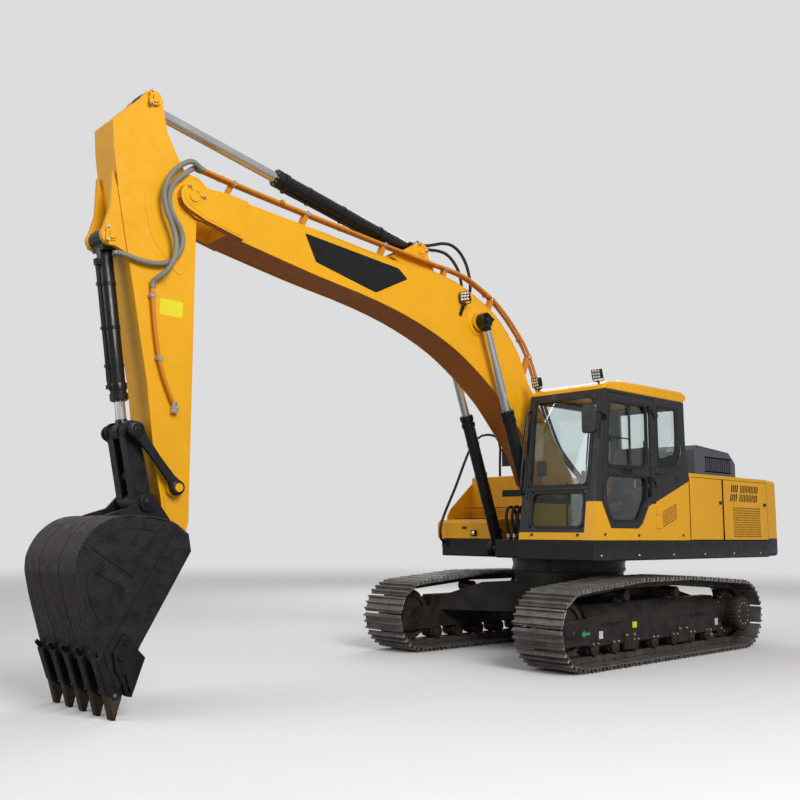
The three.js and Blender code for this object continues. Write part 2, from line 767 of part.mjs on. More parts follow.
// ================================================================ boom, arm, bucket
// upper edge of the boom, from its nose back to its foot
const boom_top = [[boom_length - 220, 210], [boom_length - 440, 300], [4515, 590], [3640, 900],
  [3165, 1120],
  [2785, 1235], [2515, 1270], [2110, 1270], [1745, 1160], [1545, 1060], [1290, 860]];

function boom() {
  const tip = boom_length;
  const outline = [
    ...arc([0, 0], 170, 125, 300), [585, -60], [855, 155], [1115, 275], [1595, 450], [2065, 540],
      [2510, 575],
    [3055, 530], [3610, 415], [4420, 175], [tip - 565, -30], [tip - 105, -135],
    ...arc([tip, 0], 125, -90, 60), ...boom_top,
  ];
  const body = side(outline, -boom_half, boom_half);
  const slot_half = arm_half + 5 + play;
  const cheek_outer = Math.max(boom_half, slot_half) + 35;
  const slot = side([[tip - 470, -400], [tip + 300, -400], [tip + 300, 500],
    [tip - 380, 500]], -slot_half, slot_half);
  const cheek = side([[tip - 565, -30], [tip - 185, -110], ...arc([tip, 0], 125, -90, 60), [tip - 90, 155],
    [tip - 250, 235], [tip - 455, 305], [tip - 455, 100]], boom_half - 1, cheek_outer);
  const ram_boss = pin(boom_ram_eye, 110, boom_half - 1, boom_half + 45, 20);
  const ear = side([[arm_ram_base[0] - 420, 1080], [arm_ram_base[0] + 330, 980],
    [arm_ram_base[0] + 90, 1330],
    ...arc(arm_ram_base, 90, 20, 170)], arm_ram.eye_half + play, arm_ram.eye_half + 40);
  const solid_boom = cut(join(body, both_sides(cheek)), slot, bore([0, 0], 45, -300, 300));
  return join(solid_boom, both_sides(join(ram_boss, ear)), pin([tip, 0], 50, -cheek_outer - 15,
    cheek_outer + 15),
    pin(arm_ram_base, arm_ram.pin_radius, -arm_ram.eye_half - 50, arm_ram.eye_half + 50));
}

function arm() {
  const tip = arm_length;
  const outline = [
    [-465, 722], [-254, 700], [101, 637], [492, 550], [920, 450], [1270, 375], [1590, 300],
      [2200, 200], [2510, 125], [2700, 92],
    ...arc([tip, 0], 88, 75, -105), [2695, -135], [1530, -100], [1195, -95], [190, -70], [-100, -15],
    [-285, 105], [-505, 240], [-705, 290], ...arc(arm_ram_eye, 85, 255, 100),
  ].reverse();
  const body = side(outline, -arm_half, arm_half);
  const fork = side([[-1000, 200], [-1000, 900], [-560, 760], [-420, 560], [-380, 300], [-380, 100]],
    -arm_ram.rod_eye_half - clear, arm_ram.rod_eye_half + clear);
  const ear = side([[-60, 690], [300, 560], [600, 490], ...arc(bucket_ram_base, 85, -20, 130), [250, 690]],
    bucket_ram.eye_half + play, bucket_ram.eye_half + 46);
  const boss = pin([0, 0], 150, -arm_half - 5, arm_half + 5, 24);
  const tip_boss = pin([tip, 0], 88, -arm_half - 5, arm_half + 5, 24);
  const link_boss = pin(side_link_pin, 75, -arm_half - 40, arm_half + 40, 16);
  const caps = pin(arm_ram_eye, 50, arm_half - 5, arm_half + 25);
  return join(cut(join(body, boss, tip_boss), fork, bore([0, 0], 50, -300, 300), bore([tip, 0], 40,
    -300, 300)),
  both_sides(join(ear, caps)), pin(bucket_ram_base, bucket_ram.pin_radius, -160, 160),
  link_boss, pin(side_link_pin, 35, -265, 265));
}

const bucket_outline = [
  [590, -985], [720, -769], [800, -536], [860, -361], [899, -222], [919, -135], [918, -49], [885, 47],
    [825, 140],
  [735, 216], [624, 262], [445, 274], [195, 232], [60, 138], [38, 6], [430, -671], [520, -870],
];
const bucket_lip = bucket_outline[0];
const bucket_hinge = bucket_outline[14];

// the space between the side plates, which come closer towards the back of the bucket
function bucket_flare(inset) {
  const half = (depth) => bucket_half - inset - bucket_taper * depth;
  const [near, far] = [-600, 1100];
  const turn = new THREE.Matrix4().makeBasis(
    new THREE.Vector3(0, 1, 0), new THREE.Vector3(0, 0, 1), new THREE.Vector3(1, 0, 0));
  const outline = [[-half(near), near], [half(near), near], [half(far), far], [-half(far), far]];
  const wedge = extruded(outline, 2400).applyMatrix4(turn).translate(-600, 0, 0);
  const slant = radians(heading(bucket_hinge, bucket_lip));
  return solid(wedge.rotateY(-slant).translate(bucket_hinge[0], 0, bucket_hinge[1]));
}

function bucket() {
  const inner = offset(bucket_outline, -bucket_plate).slice(1, 13);
  const mouth = [[470, -1080], [100, -900], [-300, -100], [60, 40]];
  const wide = bucket_half + 100;
  const hollow = side([[575, -960], ...inner, ...mouth.reverse()], -wide,
    wide).intersect(bucket_flare(bucket_plate));
  const shell = cut(side(bucket_outline, -wide, wide).intersect(bucket_flare(0)), hollow);
  const passage = join(block([-200, 150], [-ear_inner, ear_inner], [-100, 400]),
    pin([0, 0], 105, -ear_inner, ear_inner, 24));
  const ear = side([...arc([0, 0], 85, 150, 320), [120, -20], [300, 190], [690, 232], [560, 285],
    [400, 335],
    ...arc(bucket_link_pin, 80, 45, 150), [-40, 130]], ear_inner, ear_outer);
  const teeth = [];
  for (let i = 0; i < tooth_count; i += 1) {
    const y = (i - (tooth_count - 1) / 2) * tooth_pitch;
    teeth.push(side([[748, -752], [722, -742], [640, -850], [572, -905], [548, -990], [588, -1172],
      [606, -1172],
      [655, -985]], y - 42, y + 42));
  }
  const cutter = side([[395, -750], [490, -1020], [530, -1010], [582, -890], [625, -817], [646, -695],
    [560, -571],
    [435, -712]], bucket_half - 32, bucket_half + 22);
  return join(cut(shell, passage), both_sides(join(ear, cutter)), ...teeth,
    pin([0, 0], 40, -ear_outer - 15, ear_outer + 15),
    both_sides(pin(bucket_link_pin, 50, ear_outer - 1, ear_outer + 20)));
}

// one of the two levers beside the arm, with its half of the upper pin
function side_link(length) {
  const bar_outline = [...arc([0, 0], 65, 90, 270), ...arc([length, 0], 65, -90, 90)];
  const plate = cut(side(bar_outline, lever_low, lever_high), bore([0, 0], 35, lever_low - 10,
    lever_high + 10));
  return join(plate, pin([length, 0], 35, bucket_ram.rod_eye_half + clear, lever_high + 15));
}

// the link from the upper pin to the bucket, two cheeks and a cross tube
function bucket_link(length) {
  const outline = [...arc([0, 0], 62, 90, 270), ...arc([length, 0], 72, -90, 90)];
  const cheek = side(outline, bucket_ram.rod_eye_half + clear + 5, 150);
  const hole = bore([0, 0], 35, 0, 200);
  const tube_across = pin([length * 0.62, 0], 48, -140, 140);
  const end = pin([length, 0], 72, -ear_inner + clear, ear_inner - clear, 20);
  return join(both_sides(cut(cheek, hole)), tube_across, end);
}

// ================================================================ pipes and hoses
function height_at(line, x) {
  const sorted = [...line].sort((a, b) => a[0] - b[0]);
  const after = sorted.findIndex((point) => point[0] >= x);
  const [[ax, az], [bx, bz]] = [sorted[after - 1], sorted[after]];
  return az + ((x - ax) / (bx - ax)) * (bz - az);
}

// two steel pipes along the left of the boom, on clamps that stand on its top plate
function boom_pipes() {
  const splay_start = 4796;
  const run = (i) => pipe_route.map(([x, z]) => [x, x > splay_start ? nose_planes[i] : pipe_planes[i], z]);
  const clamp = (x, low, width, planes) => {
    const foot = (place) => [place, height_at(boom_top, place) + 2 * gap];
    const head = (place, rise) => [place, height_at(pipe_route, place) + rise];
    const top = [head(x - 25, -25), head(x + 25, -25), head(x + 25, 23), head(x - 25, 23)];
    const stand = [foot(x - 25), foot(x + 25), head(x + 25, 0), head(x - 25, 0)];
    return join(side(stand, low, width), side(top, low, planes[0]));
  };
  const clamps = pipe_clamps.map((x) => clamp(x, pipe_planes[1] - pipe_radius, pipe_planes[0], pipe_planes));
  const nose_clamp = clamp(nose_clamp_place, boom_half - 28, boom_half - 2, nose_planes);
  return join(...[0, 1].map((i) => tube(run(i), pipe_radius, 8, 40)), ...clamps, nose_clamp);
}

// a steel pipe down the left of the arm
function arm_pipe() {
  const run = tube(arm_pipe_route.map(([x, z]) => [x, arm_pipe_plane, z]), pipe_radius, 8, 16);
  const clamp = (x) => {
    const z = height_at(arm_pipe_route, x);
    return block([x - 20, x + 20], [arm_half + gap, arm_pipe_plane + 16], [z - 22, z + 22]);
  };
  const [end_x, end_z] = arm_pipe_route[arm_pipe_route.length - 1];
  const fitting = block([end_x - 10, end_x + 60], [arm_half + gap, arm_pipe_plane + 20],
    [end_z - 35, end_z + 25]);
  return join(run, ...arm_pipe_clamps.map(clamp), fitting);
}

// routes in [x, y, z], chosen by hand: at the arm's pin, with y from the left side of the arm
const arm_hose_route = [[35.2, 78, 291.4], [75.2, 80, 277.4], [135.2, 82, 235.4], [210.2, 85, 156.4],
  [265.2, 89, 56.4], [290.2, 91, -58.6], [265.2, 92, -178.6], [213.2, 93, -288.6], [175.2, 94, -388.6],
  [165.2, 95, -498.6], [188.2, 94, -608.6], [239.2, 85, -696.6], [290.2, 57, -748.6],
  [318.2, 35, -783.6], [322.2, 31, -808.6], [322.2, 31, -835.2]];
const bucket_hose_route = [[20.2, 27, 239.4], [50.2, 30, 213.4], [95.2, 35, 165.4], [145.2, 39, 116.4],
  [195.2, 39, 41.4], [213.2, 39, -48.6], [200.2, 39, -138.6], [155.2, 39, -218.6], [100.2, 39, -298.6],
  [75.2, 39, -398.6], [105.2, 39, -508.6], [180.2, 39, -588.6], [275.2, 39, -628.6],
  [375.2, 38, -638.6], [465.2, 36, -632.6], [545.2, 31, -618.6], [603.2, 15, -605.6]];

// at the boom's foot, from the ends of the pipes down into the deck
const lift_hose_route = ([top, foot]) => [[759.5, top, 3004], [730, top, 2945], [650, top - 4, 2790],
  [520, (top + foot) / 2 + 7, 2560], [350, foot + 14, 2330], [120, foot + 6, 2140],
  [-110, foot + 2, 1970], [-270, foot, 1760], [-320, foot, 1560], [-300, foot, 1400],
  [-290, foot, 1330], [-290, foot, deck_top + gap]];
const lift_hose_planes = [[pipe_planes[0], boom_half - 42], [pipe_planes[1], boom_half - 92]];
const lift_hose_clip = [[100, 130], [boom_half - 110, boom_half - 10], [2095, 2180]];

// in front of the boom's foot, up and over
const front_hose_route = (y) => [[1010, y, deck_top + gap], [1010, y, 1330], [1040, y, 1440],
  [1048, y, 1540], [1015, y, 1615], [950, y, 1630], [890, y, 1580], [868, y, 1490], [880, y, 1390],
  [890, y, 1330], [890, y, deck_top + gap]];
const front_hose_planes = [-70, 15, 100];
const front_hose_clip = [[1020, 1050], [-92, 122], [1400, 1432]];

// along and above the boom, from the arm cylinder's port to the boom's top
const ram_hose_routes = [
  [[3260, 32, 1427], [3200, 36, 1455], [3110, 42, 1535], [3010, 48, 1625], [2900, 54, 1685],
    [2780, 58, 1695], [2650, 60, 1650], [2540, 60, 1560], [2460, 60, 1450], [2430, 60, 1350],
    [2430, 60, 1271]],
  [[3255, -30, 1427], [3190, -26, 1446], [3090, -18, 1495], [2990, -10, 1555], [2870, -4, 1595],
    [2740, 0, 1580], [2620, 0, 1520], [2540, 0, 1430], [2495, 0, 1350], [2495, 0, 1271]],
];
const ram_hose_planes = [30, -30];
const ram_hose_clip = [[3165, 3215], [-50, 60], [1425, 1465]];

// a hose at the arm's pin, from a pipe on the boom; its last points can lead to a port
function arm_side_hose(plane, lift, route, ...end) {
  const start = [[-81.8, plane, 251.7], [-52.2, plane, 256.7], [-12, plane + 3, lift]]
    .map(([x, y, z]) => [arm_pin[0] + x, y, arm_pin[1] + z]);
  const points = route.map(([x, y, z]) => [arm_pin[0] + x, arm_half + y, arm_pin[1] + z]);
  return tube([...start, ...points, ...end], arm_hose_radius, 8, 45);
}

// hoses side by side, held together by a clip
function hoses(routes, radius, clip) {
  return join(...routes.map((route) => tube(route, radius, 8, route.length * 2)), block(...clip));
}

// ================================================================ assembly
const machine = new THREE.Group();

const undercarriage = new THREE.Group();
machine.add(undercarriage);
part(undercarriage, 'centre_frame', centre_frame(), black);
part(undercarriage, 'swing_ring', swing_ring(), steel, 0.5, 0.8);
for (const [name, body, color] of [
  ['track_frame', track_frame(), black], ['track', track(), steel],
  ['sprocket', sprocket(), black], ['idler', idler(), steel],
]) {
  part(undercarriage, `left_${name}`, body, color, 0.6, 0.5);
  part(undercarriage, `right_${name}`, mirrored(body), color, 0.6, 0.5);
}

const upper = new THREE.Group();
machine.add(upper);
part(upper, 'revolving_frame', deck(), charcoal);
part(upper, 'counterweight', counterweight(), yellow);
part(upper, 'body_shell', body_shell(), yellow);
part(upper, 'engine_hood', engine_hood(), charcoal);
part(upper, 'engine_block', engine_block(), steel);
part(upper, 'fuel_tank', fuel_tank(), yellow);
part(upper, 'hydraulic_tank', hydraulic_tank(), yellow);
part(upper, 'tool_box', tool_box(), yellow);
part(upper, 'battery_door', side_door(doors_front, doors_split), yellow);
part(upper, 'radiator_door', side_door(doors_split, body_rear), yellow);
part(upper, 'pump_door', mirrored(side_door(doors_split, body_rear)), yellow);
part(upper, 'cab_shell', cab_shell(), charcoal);
part(upper, 'cab_roof', cab_roof(), yellow);
part(upper, 'cab_door', cab_door(), charcoal);
part(upper, 'door_glass', door_glass(), tinted, 0.05, 0);
part(upper, 'windshield', front_glass(windshield), tinted, 0.05, 0);
part(upper, 'lower_windshield', front_glass(lower_windshield), tinted, 0.05, 0);
part(upper, 'right_glass', side(offset(right_window, -gap), cab_inner + 20, cab_inner + 28), tinted,
  0.05, 0);
part(upper, 'quarter_glass', side(offset(quarter_window, -gap), half_width - 28, half_width - 20),
  tinted, 0.05, 0);
part(upper, 'rear_glass', block([-425, -417], [rear_window.y[0] + gap, rear_window.y[1] - gap],
  [rear_window.z[0] + gap, rear_window.z[1] - gap]), tinted, 0.05, 0);
part(upper, 'seat_base', seat_base(), charcoal);
part(upper, 'seat', seat(), charcoal, 0.9, 0);
part(upper, 'travel_levers', travel_levers(), charcoal, 0.7, 0.1);
part(upper, 'left_mirror', left_mirror(), charcoal, 0.5, 0.1);
part(upper, 'handrail', handrail(), charcoal, 0.5, 0.1);

const front_hoses = hoses(front_hose_planes.map(front_hose_route), front_hose_radius, front_hose_clip);
part(upper, 'front_hoses', front_hoses, rubber, 0.7, 0);
const lift_hoses = hoses(lift_hose_planes.map(lift_hose_route), front_hose_radius, lift_hose_clip);
part(upper, 'lift_hoses', lift_hoses, rubber, 0.7, 0);
part(upper, 'arm_hose', arm_side_hose(nose_planes[0], 278, arm_hose_route), rubber, 0.7, 0);
const bucket_port = [arm_pin[0] + 622.9, bucket_ram.port[1][1], arm_pin[1] - 601];
const bucket_port_end = [30, 0.5].map((rise) => [bucket_port[0], bucket_port[1] + rise, bucket_port[2]]);
const bucket_hose = arm_side_hose(nose_planes[1], 254, bucket_hose_route, ...bucket_port_end);
part(upper, 'bucket_hose', bucket_hose, rubber, 0.7, 0);
const boom_eye = along(foot_pin, boom_angle, boom_ram_eye);
add_ram(upper, 'left_boom', boom_ram, boom_ram_base, boom_eye, boom_ram_plane);
add_ram(upper, 'right_boom', boom_ram, boom_ram_base, boom_eye, -boom_ram_plane);

const boom_group = pinned(foot_pin, boom_angle);
upper.add(boom_group);
part(boom_group, 'boom', boom(), yellow);
part(boom_group, 'boom_pipes', boom_pipes(), yellow);

const arm_group = pinned([boom_length, 0], arm_angle - boom_angle);
boom_group.add(arm_group);
const arm_eye = along([boom_length, 0], arm_angle - boom_angle, arm_ram_eye);
add_ram(boom_group, 'arm', arm_ram, arm_ram_base, arm_eye);
const ram_port_end = [9.5, -20.5].map((x) => along(arm_ram_base, heading(arm_ram_base, arm_eye), [x, 120]));
const from_port = (route, i) => [...ram_port_end.map(([x, z]) => [x, ram_hose_planes[i], z]), ...route];
const ram_hoses = hoses(ram_hose_routes.map(from_port), front_hose_radius, ram_hose_clip);
part(boom_group, 'ram_hoses', ram_hoses, rubber, 0.7, 0);
part(arm_group, 'arm', arm(), yellow);
part(arm_group, 'arm_pipe', arm_pipe(), yellow);
add_ram(arm_group, 'bucket', bucket_ram, bucket_ram_base, link_pin);

const bucket_group = pinned([arm_length, 0], -arm_angle);
arm_group.add(bucket_group);
part(bucket_group, 'bucket', bucket(), black);

const lever_group = pinned(side_link_pin, heading(side_link_pin, link_pin));
arm_group.add(lever_group);
const lever = side_link(distance(side_link_pin, link_pin));
part(lever_group, 'left_side_link', lever, black);
part(lever_group, 'right_side_link', mirrored(lever), black);
const link_end = along([arm_length, 0], -arm_angle, bucket_link_pin);
const link_group = pinned(link_pin, heading(link_pin, link_end));
arm_group.add(link_group);
part(link_group, 'bucket_link', bucket_link(distance(link_pin, link_end)), black);

machine.updateMatrixWorld(true);
const extent = new THREE.Box3().setFromObject(machine);
machine.position.x = -(extent.min.x + extent.max.x) / 2;
machine.updateMatrixWorld(true);

export default machine;
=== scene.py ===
"""Looks of the crawler excavator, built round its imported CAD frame. Metres, X forward, Y left, Z up."""
import json
import math
import random

import bmesh
import bpy
from mathutils import Matrix, Vector


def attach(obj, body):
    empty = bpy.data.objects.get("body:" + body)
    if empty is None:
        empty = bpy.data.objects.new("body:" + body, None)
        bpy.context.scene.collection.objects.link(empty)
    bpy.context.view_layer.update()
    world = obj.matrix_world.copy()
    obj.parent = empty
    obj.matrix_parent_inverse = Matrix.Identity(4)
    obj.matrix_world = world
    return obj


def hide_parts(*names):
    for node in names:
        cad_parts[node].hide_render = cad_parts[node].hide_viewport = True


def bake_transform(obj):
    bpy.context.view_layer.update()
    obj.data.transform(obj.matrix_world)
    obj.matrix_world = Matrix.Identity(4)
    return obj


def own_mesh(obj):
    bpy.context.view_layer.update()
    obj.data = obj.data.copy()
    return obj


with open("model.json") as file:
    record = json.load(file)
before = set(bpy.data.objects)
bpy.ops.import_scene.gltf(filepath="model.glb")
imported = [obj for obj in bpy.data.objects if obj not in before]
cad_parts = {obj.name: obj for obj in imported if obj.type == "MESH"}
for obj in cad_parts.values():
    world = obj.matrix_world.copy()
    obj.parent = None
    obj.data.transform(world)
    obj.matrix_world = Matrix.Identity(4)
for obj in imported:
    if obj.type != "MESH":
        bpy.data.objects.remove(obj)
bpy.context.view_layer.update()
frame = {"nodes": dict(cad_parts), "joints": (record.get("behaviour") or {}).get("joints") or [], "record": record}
random.seed(7)

NODES = frame["nodes"]
JOINTS = {joint["name"]: joint for joint in frame["joints"]}
SWING_X = JOINTS["swing"]["pos_m"][0]
SCENE = bpy.context.scene
LINK = SCENE.collection.objects.link


# ---------------------------------------------------------------- camera, light and floor
def aim_camera():
    """A camera beside the cab's front corner, low and looking a little up."""
    data = bpy.data.cameras.new("camera")
    data.lens = 42.09
    data.sensor_width = 36
    data.clip_end = 300
    camera = bpy.data.objects.new("camera", data)
    LINK(camera)
    yaw, pitch, roll = -2.324, 0.141, 0.007
    look = Vector((math.cos(pitch) * math.cos(yaw), math.cos(pitch) * math.sin(yaw), math.sin(pitch)))
    level = Vector((math.sin(yaw), -math.cos(yaw), 0))
    up = level.cross(look)
    right = level * math.cos(roll) + up * math.sin(roll)
    top = -level * math.sin(roll) + up * math.cos(roll)
    turn = Matrix((right, top, -look)).transposed().to_4x4()
    camera.matrix_world = Matrix.Translation((SWING_X + 9.230, 6.883, 1.331)) @ turn
    SCENE.camera = camera


def area_light(name, place, target, size, energy, color=(1, 1, 1)):
    data = bpy.data.lights.new(name, "AREA")
    data.shape = "DISK"
    data.size = size
    data.energy = energy
    data.color = color
    light = bpy.data.objects.new(name, data)
    light.location = place
    light.rotation_euler = (Vector(target) - Vector(place)).to_track_quat("-Z", "Y").to_euler()
    LINK(light)


def light_world():
    """Grey daylight, brighter from above, behind a plain pale background."""
    world = bpy.data.worlds.new("world")
    SCENE.world = world
    world.use_nodes = True
    tree = world.node_tree
    tree.nodes.clear()
    out = tree.nodes.new("ShaderNodeOutputWorld")
    seen = tree.nodes.new("ShaderNodeBackground")
    seen.inputs["Color"].default_value = BACKDROP
    lit = tree.nodes.new("ShaderNodeBackground")
    lit.inputs["Strength"].default_value = 0.42
    place = tree.nodes.new("ShaderNodeTexCoord")
    split = tree.nodes.new("ShaderNodeSeparateXYZ")
    ramp = tree.nodes.new("ShaderNodeValToRGB")
    ramp.color_ramp.elements[0].position = 0.42
    ramp.color_ramp.elements[0].color = (0.42, 0.42, 0.42, 1)
    ramp.color_ramp.elements[1].position = 0.75
    ramp.color_ramp.elements[1].color = (1, 1, 1, 1)
    scale = tree.nodes.new("ShaderNodeMapRange")
    scale.inputs["From Min"].default_value = -1
    tree.links.new(place.outputs["Generated"], split.inputs[0])
    tree.links.new(split.outputs["Z"], scale.inputs["Value"])
    tree.links.new(scale.outputs[0], ramp.inputs[0])
    tree.links.new(ramp.outputs[0], lit.inputs["Color"])
    mix = tree.nodes.new("ShaderNodeMixShader")
    tree.links.new(seen_ray(tree, ("Is Camera Ray", "Is Transmission Ray")), mix.inputs[0])
    tree.links.new(lit.outputs[0], mix.inputs[1])
    tree.links.new(seen.outputs[0], mix.inputs[2])
    tree.links.new(mix.outputs[0], out.inputs[0])


def seen_ray(tree, names):
    path = tree.nodes.new("ShaderNodeLightPath")
    total = path.outputs[names[0]]
    for name in names[1:]:
        larger = tree.nodes.new("ShaderNodeMath")
        larger.operation = "MAXIMUM"
        tree.links.new(total, larger.inputs[0])
        tree.links.new(path.outputs[name], larger.inputs[1])
        total = larger.outputs[0]
    return total


BACKDROP = (0.72, 0.72, 0.73, 1)


def lay_floor():
    """A round pale floor that keeps the shadow and fades into the background far out."""
    mesh = bpy.data.meshes.new("floor")
    rim = [(70 * math.cos(math.tau * i / 96), 70 * math.sin(math.tau * i / 96), 0) for i in range(96)]
    mesh.from_pydata(rim, [], [list(range(96))])
    floor = bpy.data.objects.new("floor", mesh)
    LINK(floor)
    material = bpy.data.materials.new("floor")
    material.use_nodes = True
    tree = material.node_tree
    tree.nodes.clear()
    out = tree.nodes.new("ShaderNodeOutputMaterial")
    pale = tree.nodes.new("ShaderNodeBsdfDiffuse")
    pale.inputs["Color"].default_value = (0.82, 0.82, 0.825, 1)
    dark = tree.nodes.new("ShaderNodeBsdfDiffuse")
    dark.inputs["Color"].default_value = (0.22, 0.22, 0.23, 1)
    glow = tree.nodes.new("ShaderNodeEmission")
    glow.inputs["Color"].default_value = BACKDROP
    by_ray = tree.nodes.new("ShaderNodeMixShader")
    tree.links.new(seen_ray(tree, ("Is Camera Ray", "Is Transmission Ray")), by_ray.inputs[0])
    tree.links.new(dark.outputs[0], by_ray.inputs[1])
    tree.links.new(pale.outputs[0], by_ray.inputs[2])
    place = tree.nodes.new("ShaderNodeTexCoord")
    length = tree.nodes.new("ShaderNodeVectorMath")
    length.operation = "LENGTH"
    tree.links.new(place.outputs["Object"], length.inputs[0])
    fade = tree.nodes.new("ShaderNodeMapRange")
    fade.interpolation_type = "SMOOTHSTEP"
    fade.inputs["From Min"].default_value = 8
    fade.inputs["From Max"].default_value = 30
    tree.links.new(length.outputs["Value"], fade.inputs["Value"])
    far = tree.nodes.new("ShaderNodeMixShader")
    tree.links.new(fade.outputs[0], far.inputs[0])
    tree.links.new(by_ray.outputs[0], far.inputs[1])
    tree.links.new(glow.outputs[0], far.inputs[2])
    tree.links.new(far.outputs[0], out.inputs[0])
    mesh.materials.append(material)


aim_camera()
SCENE.view_settings.view_transform = "Standard"
light_world()
lay_floor()
area_light("key", (5, 12, 9), (0, 0, 1.5), 7, 1500)
area_light("fill", (12, -4, 6), (0, 0, 2), 8, 300)
area_light("rim", (-9, -7, 8), (0, 0, 2), 8, 500)


# ---------------------------------------------------------------- materials
class Surface:
    """A Principled material whose colour, roughness and bump come from object-space noise."""

    def __init__(self, name, color, roughness, metallic=0.0):
        self.material = bpy.data.materials.new(name)
        self.material.use_nodes = True
        self.tree = self.material.node_tree
        self.shader = self.tree.nodes["Principled BSDF"]
        self.shader.inputs["Metallic"].default_value = metallic
        self.shader.inputs["Roughness"].default_value = roughness
        self.shader.inputs["Base Color"].default_value = (*color, 1)
        self.place = self.tree.nodes.new("ShaderNodeTexCoord").outputs["Object"]
        self.color = color
        self.roughness = roughness
        self.color_out = None
        self.height = None

    def node(self, kind, **values):
        node = self.tree.nodes.new(kind)
        for key, value in values.items():
            setattr(node, key, value)
        return node

    def link(self, source, target):
        self.tree.links.new(source, target)

    def noise(self, scale, detail=4, stretch=(1, 1, 1), low=0.35, high=0.65):
        """Noise from 0 to 1 with its middle band widened."""
        place = self.place
        if stretch != (1, 1, 1):
            mapping = self.node("ShaderNodeMapping")
            mapping.inputs["Scale"].default_value = stretch
            self.link(place, mapping.inputs[0])
            place = mapping.outputs[0]
        noise = self.node("ShaderNodeTexNoise")
        noise.inputs["Scale"].default_value = scale
        noise.inputs["Detail"].default_value = detail
        self.link(place, noise.inputs["Vector"])
        wide = self.node("ShaderNodeMapRange")
        wide.inputs["From Min"].default_value = low
        wide.inputs["From Max"].default_value = high
        self.link(noise.outputs["Fac"], wide.inputs["Value"])
        return wide.outputs[0]

    def above(self, low, high, axis="Z"):
        """1 below the height low, 0 above the height high."""
        split = self.node("ShaderNodeSeparateXYZ")
        self.link(self.place, split.inputs[0])
        fall = self.node("ShaderNodeMapRange")
        fall.inputs["From Min"].default_value = low
        fall.inputs["From Max"].default_value = high
        fall.inputs["To Min"].default_value = 1
        fall.inputs["To Max"].default_value = 0
        self.link(split.outputs[axis], fall.inputs["Value"])
        return fall.outputs[0]

    def times(self, a, b):
        node = self.node("ShaderNodeMath", operation="MULTIPLY")
        for socket, value in zip(node.inputs, (a, b)):
            if isinstance(value, (int, float)):
                socket.default_value = value
            else:
                self.link(value, socket)
        return node.outputs[0]

    def tint(self, factor, color):
        """Mixes another colour over the base by a factor."""
        mix = self.node("ShaderNodeMix", data_type="RGBA")
        self.link(factor, mix.inputs["Factor"])
        if self.color_out is None:
            mix.inputs["A"].default_value = (*self.color, 1)
        else:
            self.link(self.color_out, mix.inputs["A"])
        mix.inputs["B"].default_value = (*color, 1)
        self.color_out = mix.outputs["Result"]
        self.link(self.color_out, self.shader.inputs["Base Color"])
        return self

    def rough(self, factor, low, high):
        spread = self.node("ShaderNodeMapRange")
        spread.inputs["To Min"].default_value = low
        spread.inputs["To Max"].default_value = high
        self.link(factor, spread.inputs["Value"])
        self.link(spread.outputs[0], self.shader.inputs["Roughness"])
        return self

    def bump(self, factor, depth, strength=1.0):
        node = self.node("ShaderNodeBump")
        node.inputs["Strength"].default_value = strength
        node.inputs["Distance"].default_value = depth
        self.link(factor, node.inputs["Height"])
        if self.height is not None:
            self.link(self.height, node.inputs["Normal"])
        self.height = node.outputs["Normal"]
        self.link(self.height, self.shader.inputs["Normal"])
        return self

    def set(self, **values):
        for key, value in values.items():
            self.shader.inputs[key.replace("_", " ")].default_value = value
        return self


def paint(name, color, roughness, shade=0.86, coat=0.15, dust=0.0):
    """Sprayed paint: faint clouding, orange peel, a clear coat and a little dust low down."""
    s = Surface(name, color, roughness)
    s.tint(s.times(s.noise(1.3), 0.5), [c * shade for c in color])
    s.tint(s.times(s.noise(9, 6), 0.18), [min(1, c * 1.12 + 0.004) for c in color])
    if dust:
        s.tint(s.times(s.times(s.noise(5, 8, low=0.3, high=0.75), s.above(0.1, 1.5)), dust), (0.16, 0.125, 0.085))
    s.rough(s.noise(14, 5), roughness * 0.75, roughness * 1.35)
    s.bump(s.noise(260, 2), 0.0004, 0.25)
    s.bump(s.noise(3.2, 2), 0.004, 0.18)
    s.set(Coat_Weight=coat, Coat_Roughness=0.08, Specular_IOR_Level=0.35)
    return s.material


def worn_steel(name, color, rust, roughness, metallic, amount=0.7, scale=6):
    """Bare or thinly painted steel with rust in clouds and brighter scratches."""
    s = Surface(name, color, roughness, metallic)
    s.tint(s.times(s.noise(scale, 8), amount), rust)
    s.tint(s.times(s.noise(scale * 9, 6, low=0.55, high=0.75), 0.6), [c * 0.35 for c in rust])
    s.tint(s.times(s.noise(scale * 5, 4, (1, 14, 1), 0.6, 0.8), 0.4), [min(1, c * 2.1) for c in color])
    s.rough(s.noise(scale * 4, 6), roughness * 0.7, min(1, roughness * 1.4))
    s.bump(s.noise(scale * 26, 6), 0.0015, 0.5)
    return s.material


def brushed(name, color, roughness, metallic=1.0):
    s = Surface(name, color, roughness, metallic)
    s.tint(s.times(s.noise(7, 3), 0.25), [c * 0.72 for c in color])
    s.rough(s.noise(30, 4, (1, 1, 9)), roughness * 0.7, roughness * 1.5)
    s.bump(s.noise(420, 2, (1, 6, 6)), 0.0002, 0.2)
    return s.material


def polished(name, color, roughness):
    """Hard chrome with faint clouding."""
    s = Surface(name, color, roughness, 1.0)
    s.tint(s.times(s.noise(3, 3), 0.15), [c * 0.85 for c in color])
    s.rough(s.noise(9, 4), roughness * 0.8, roughness * 1.2)
    return s.material


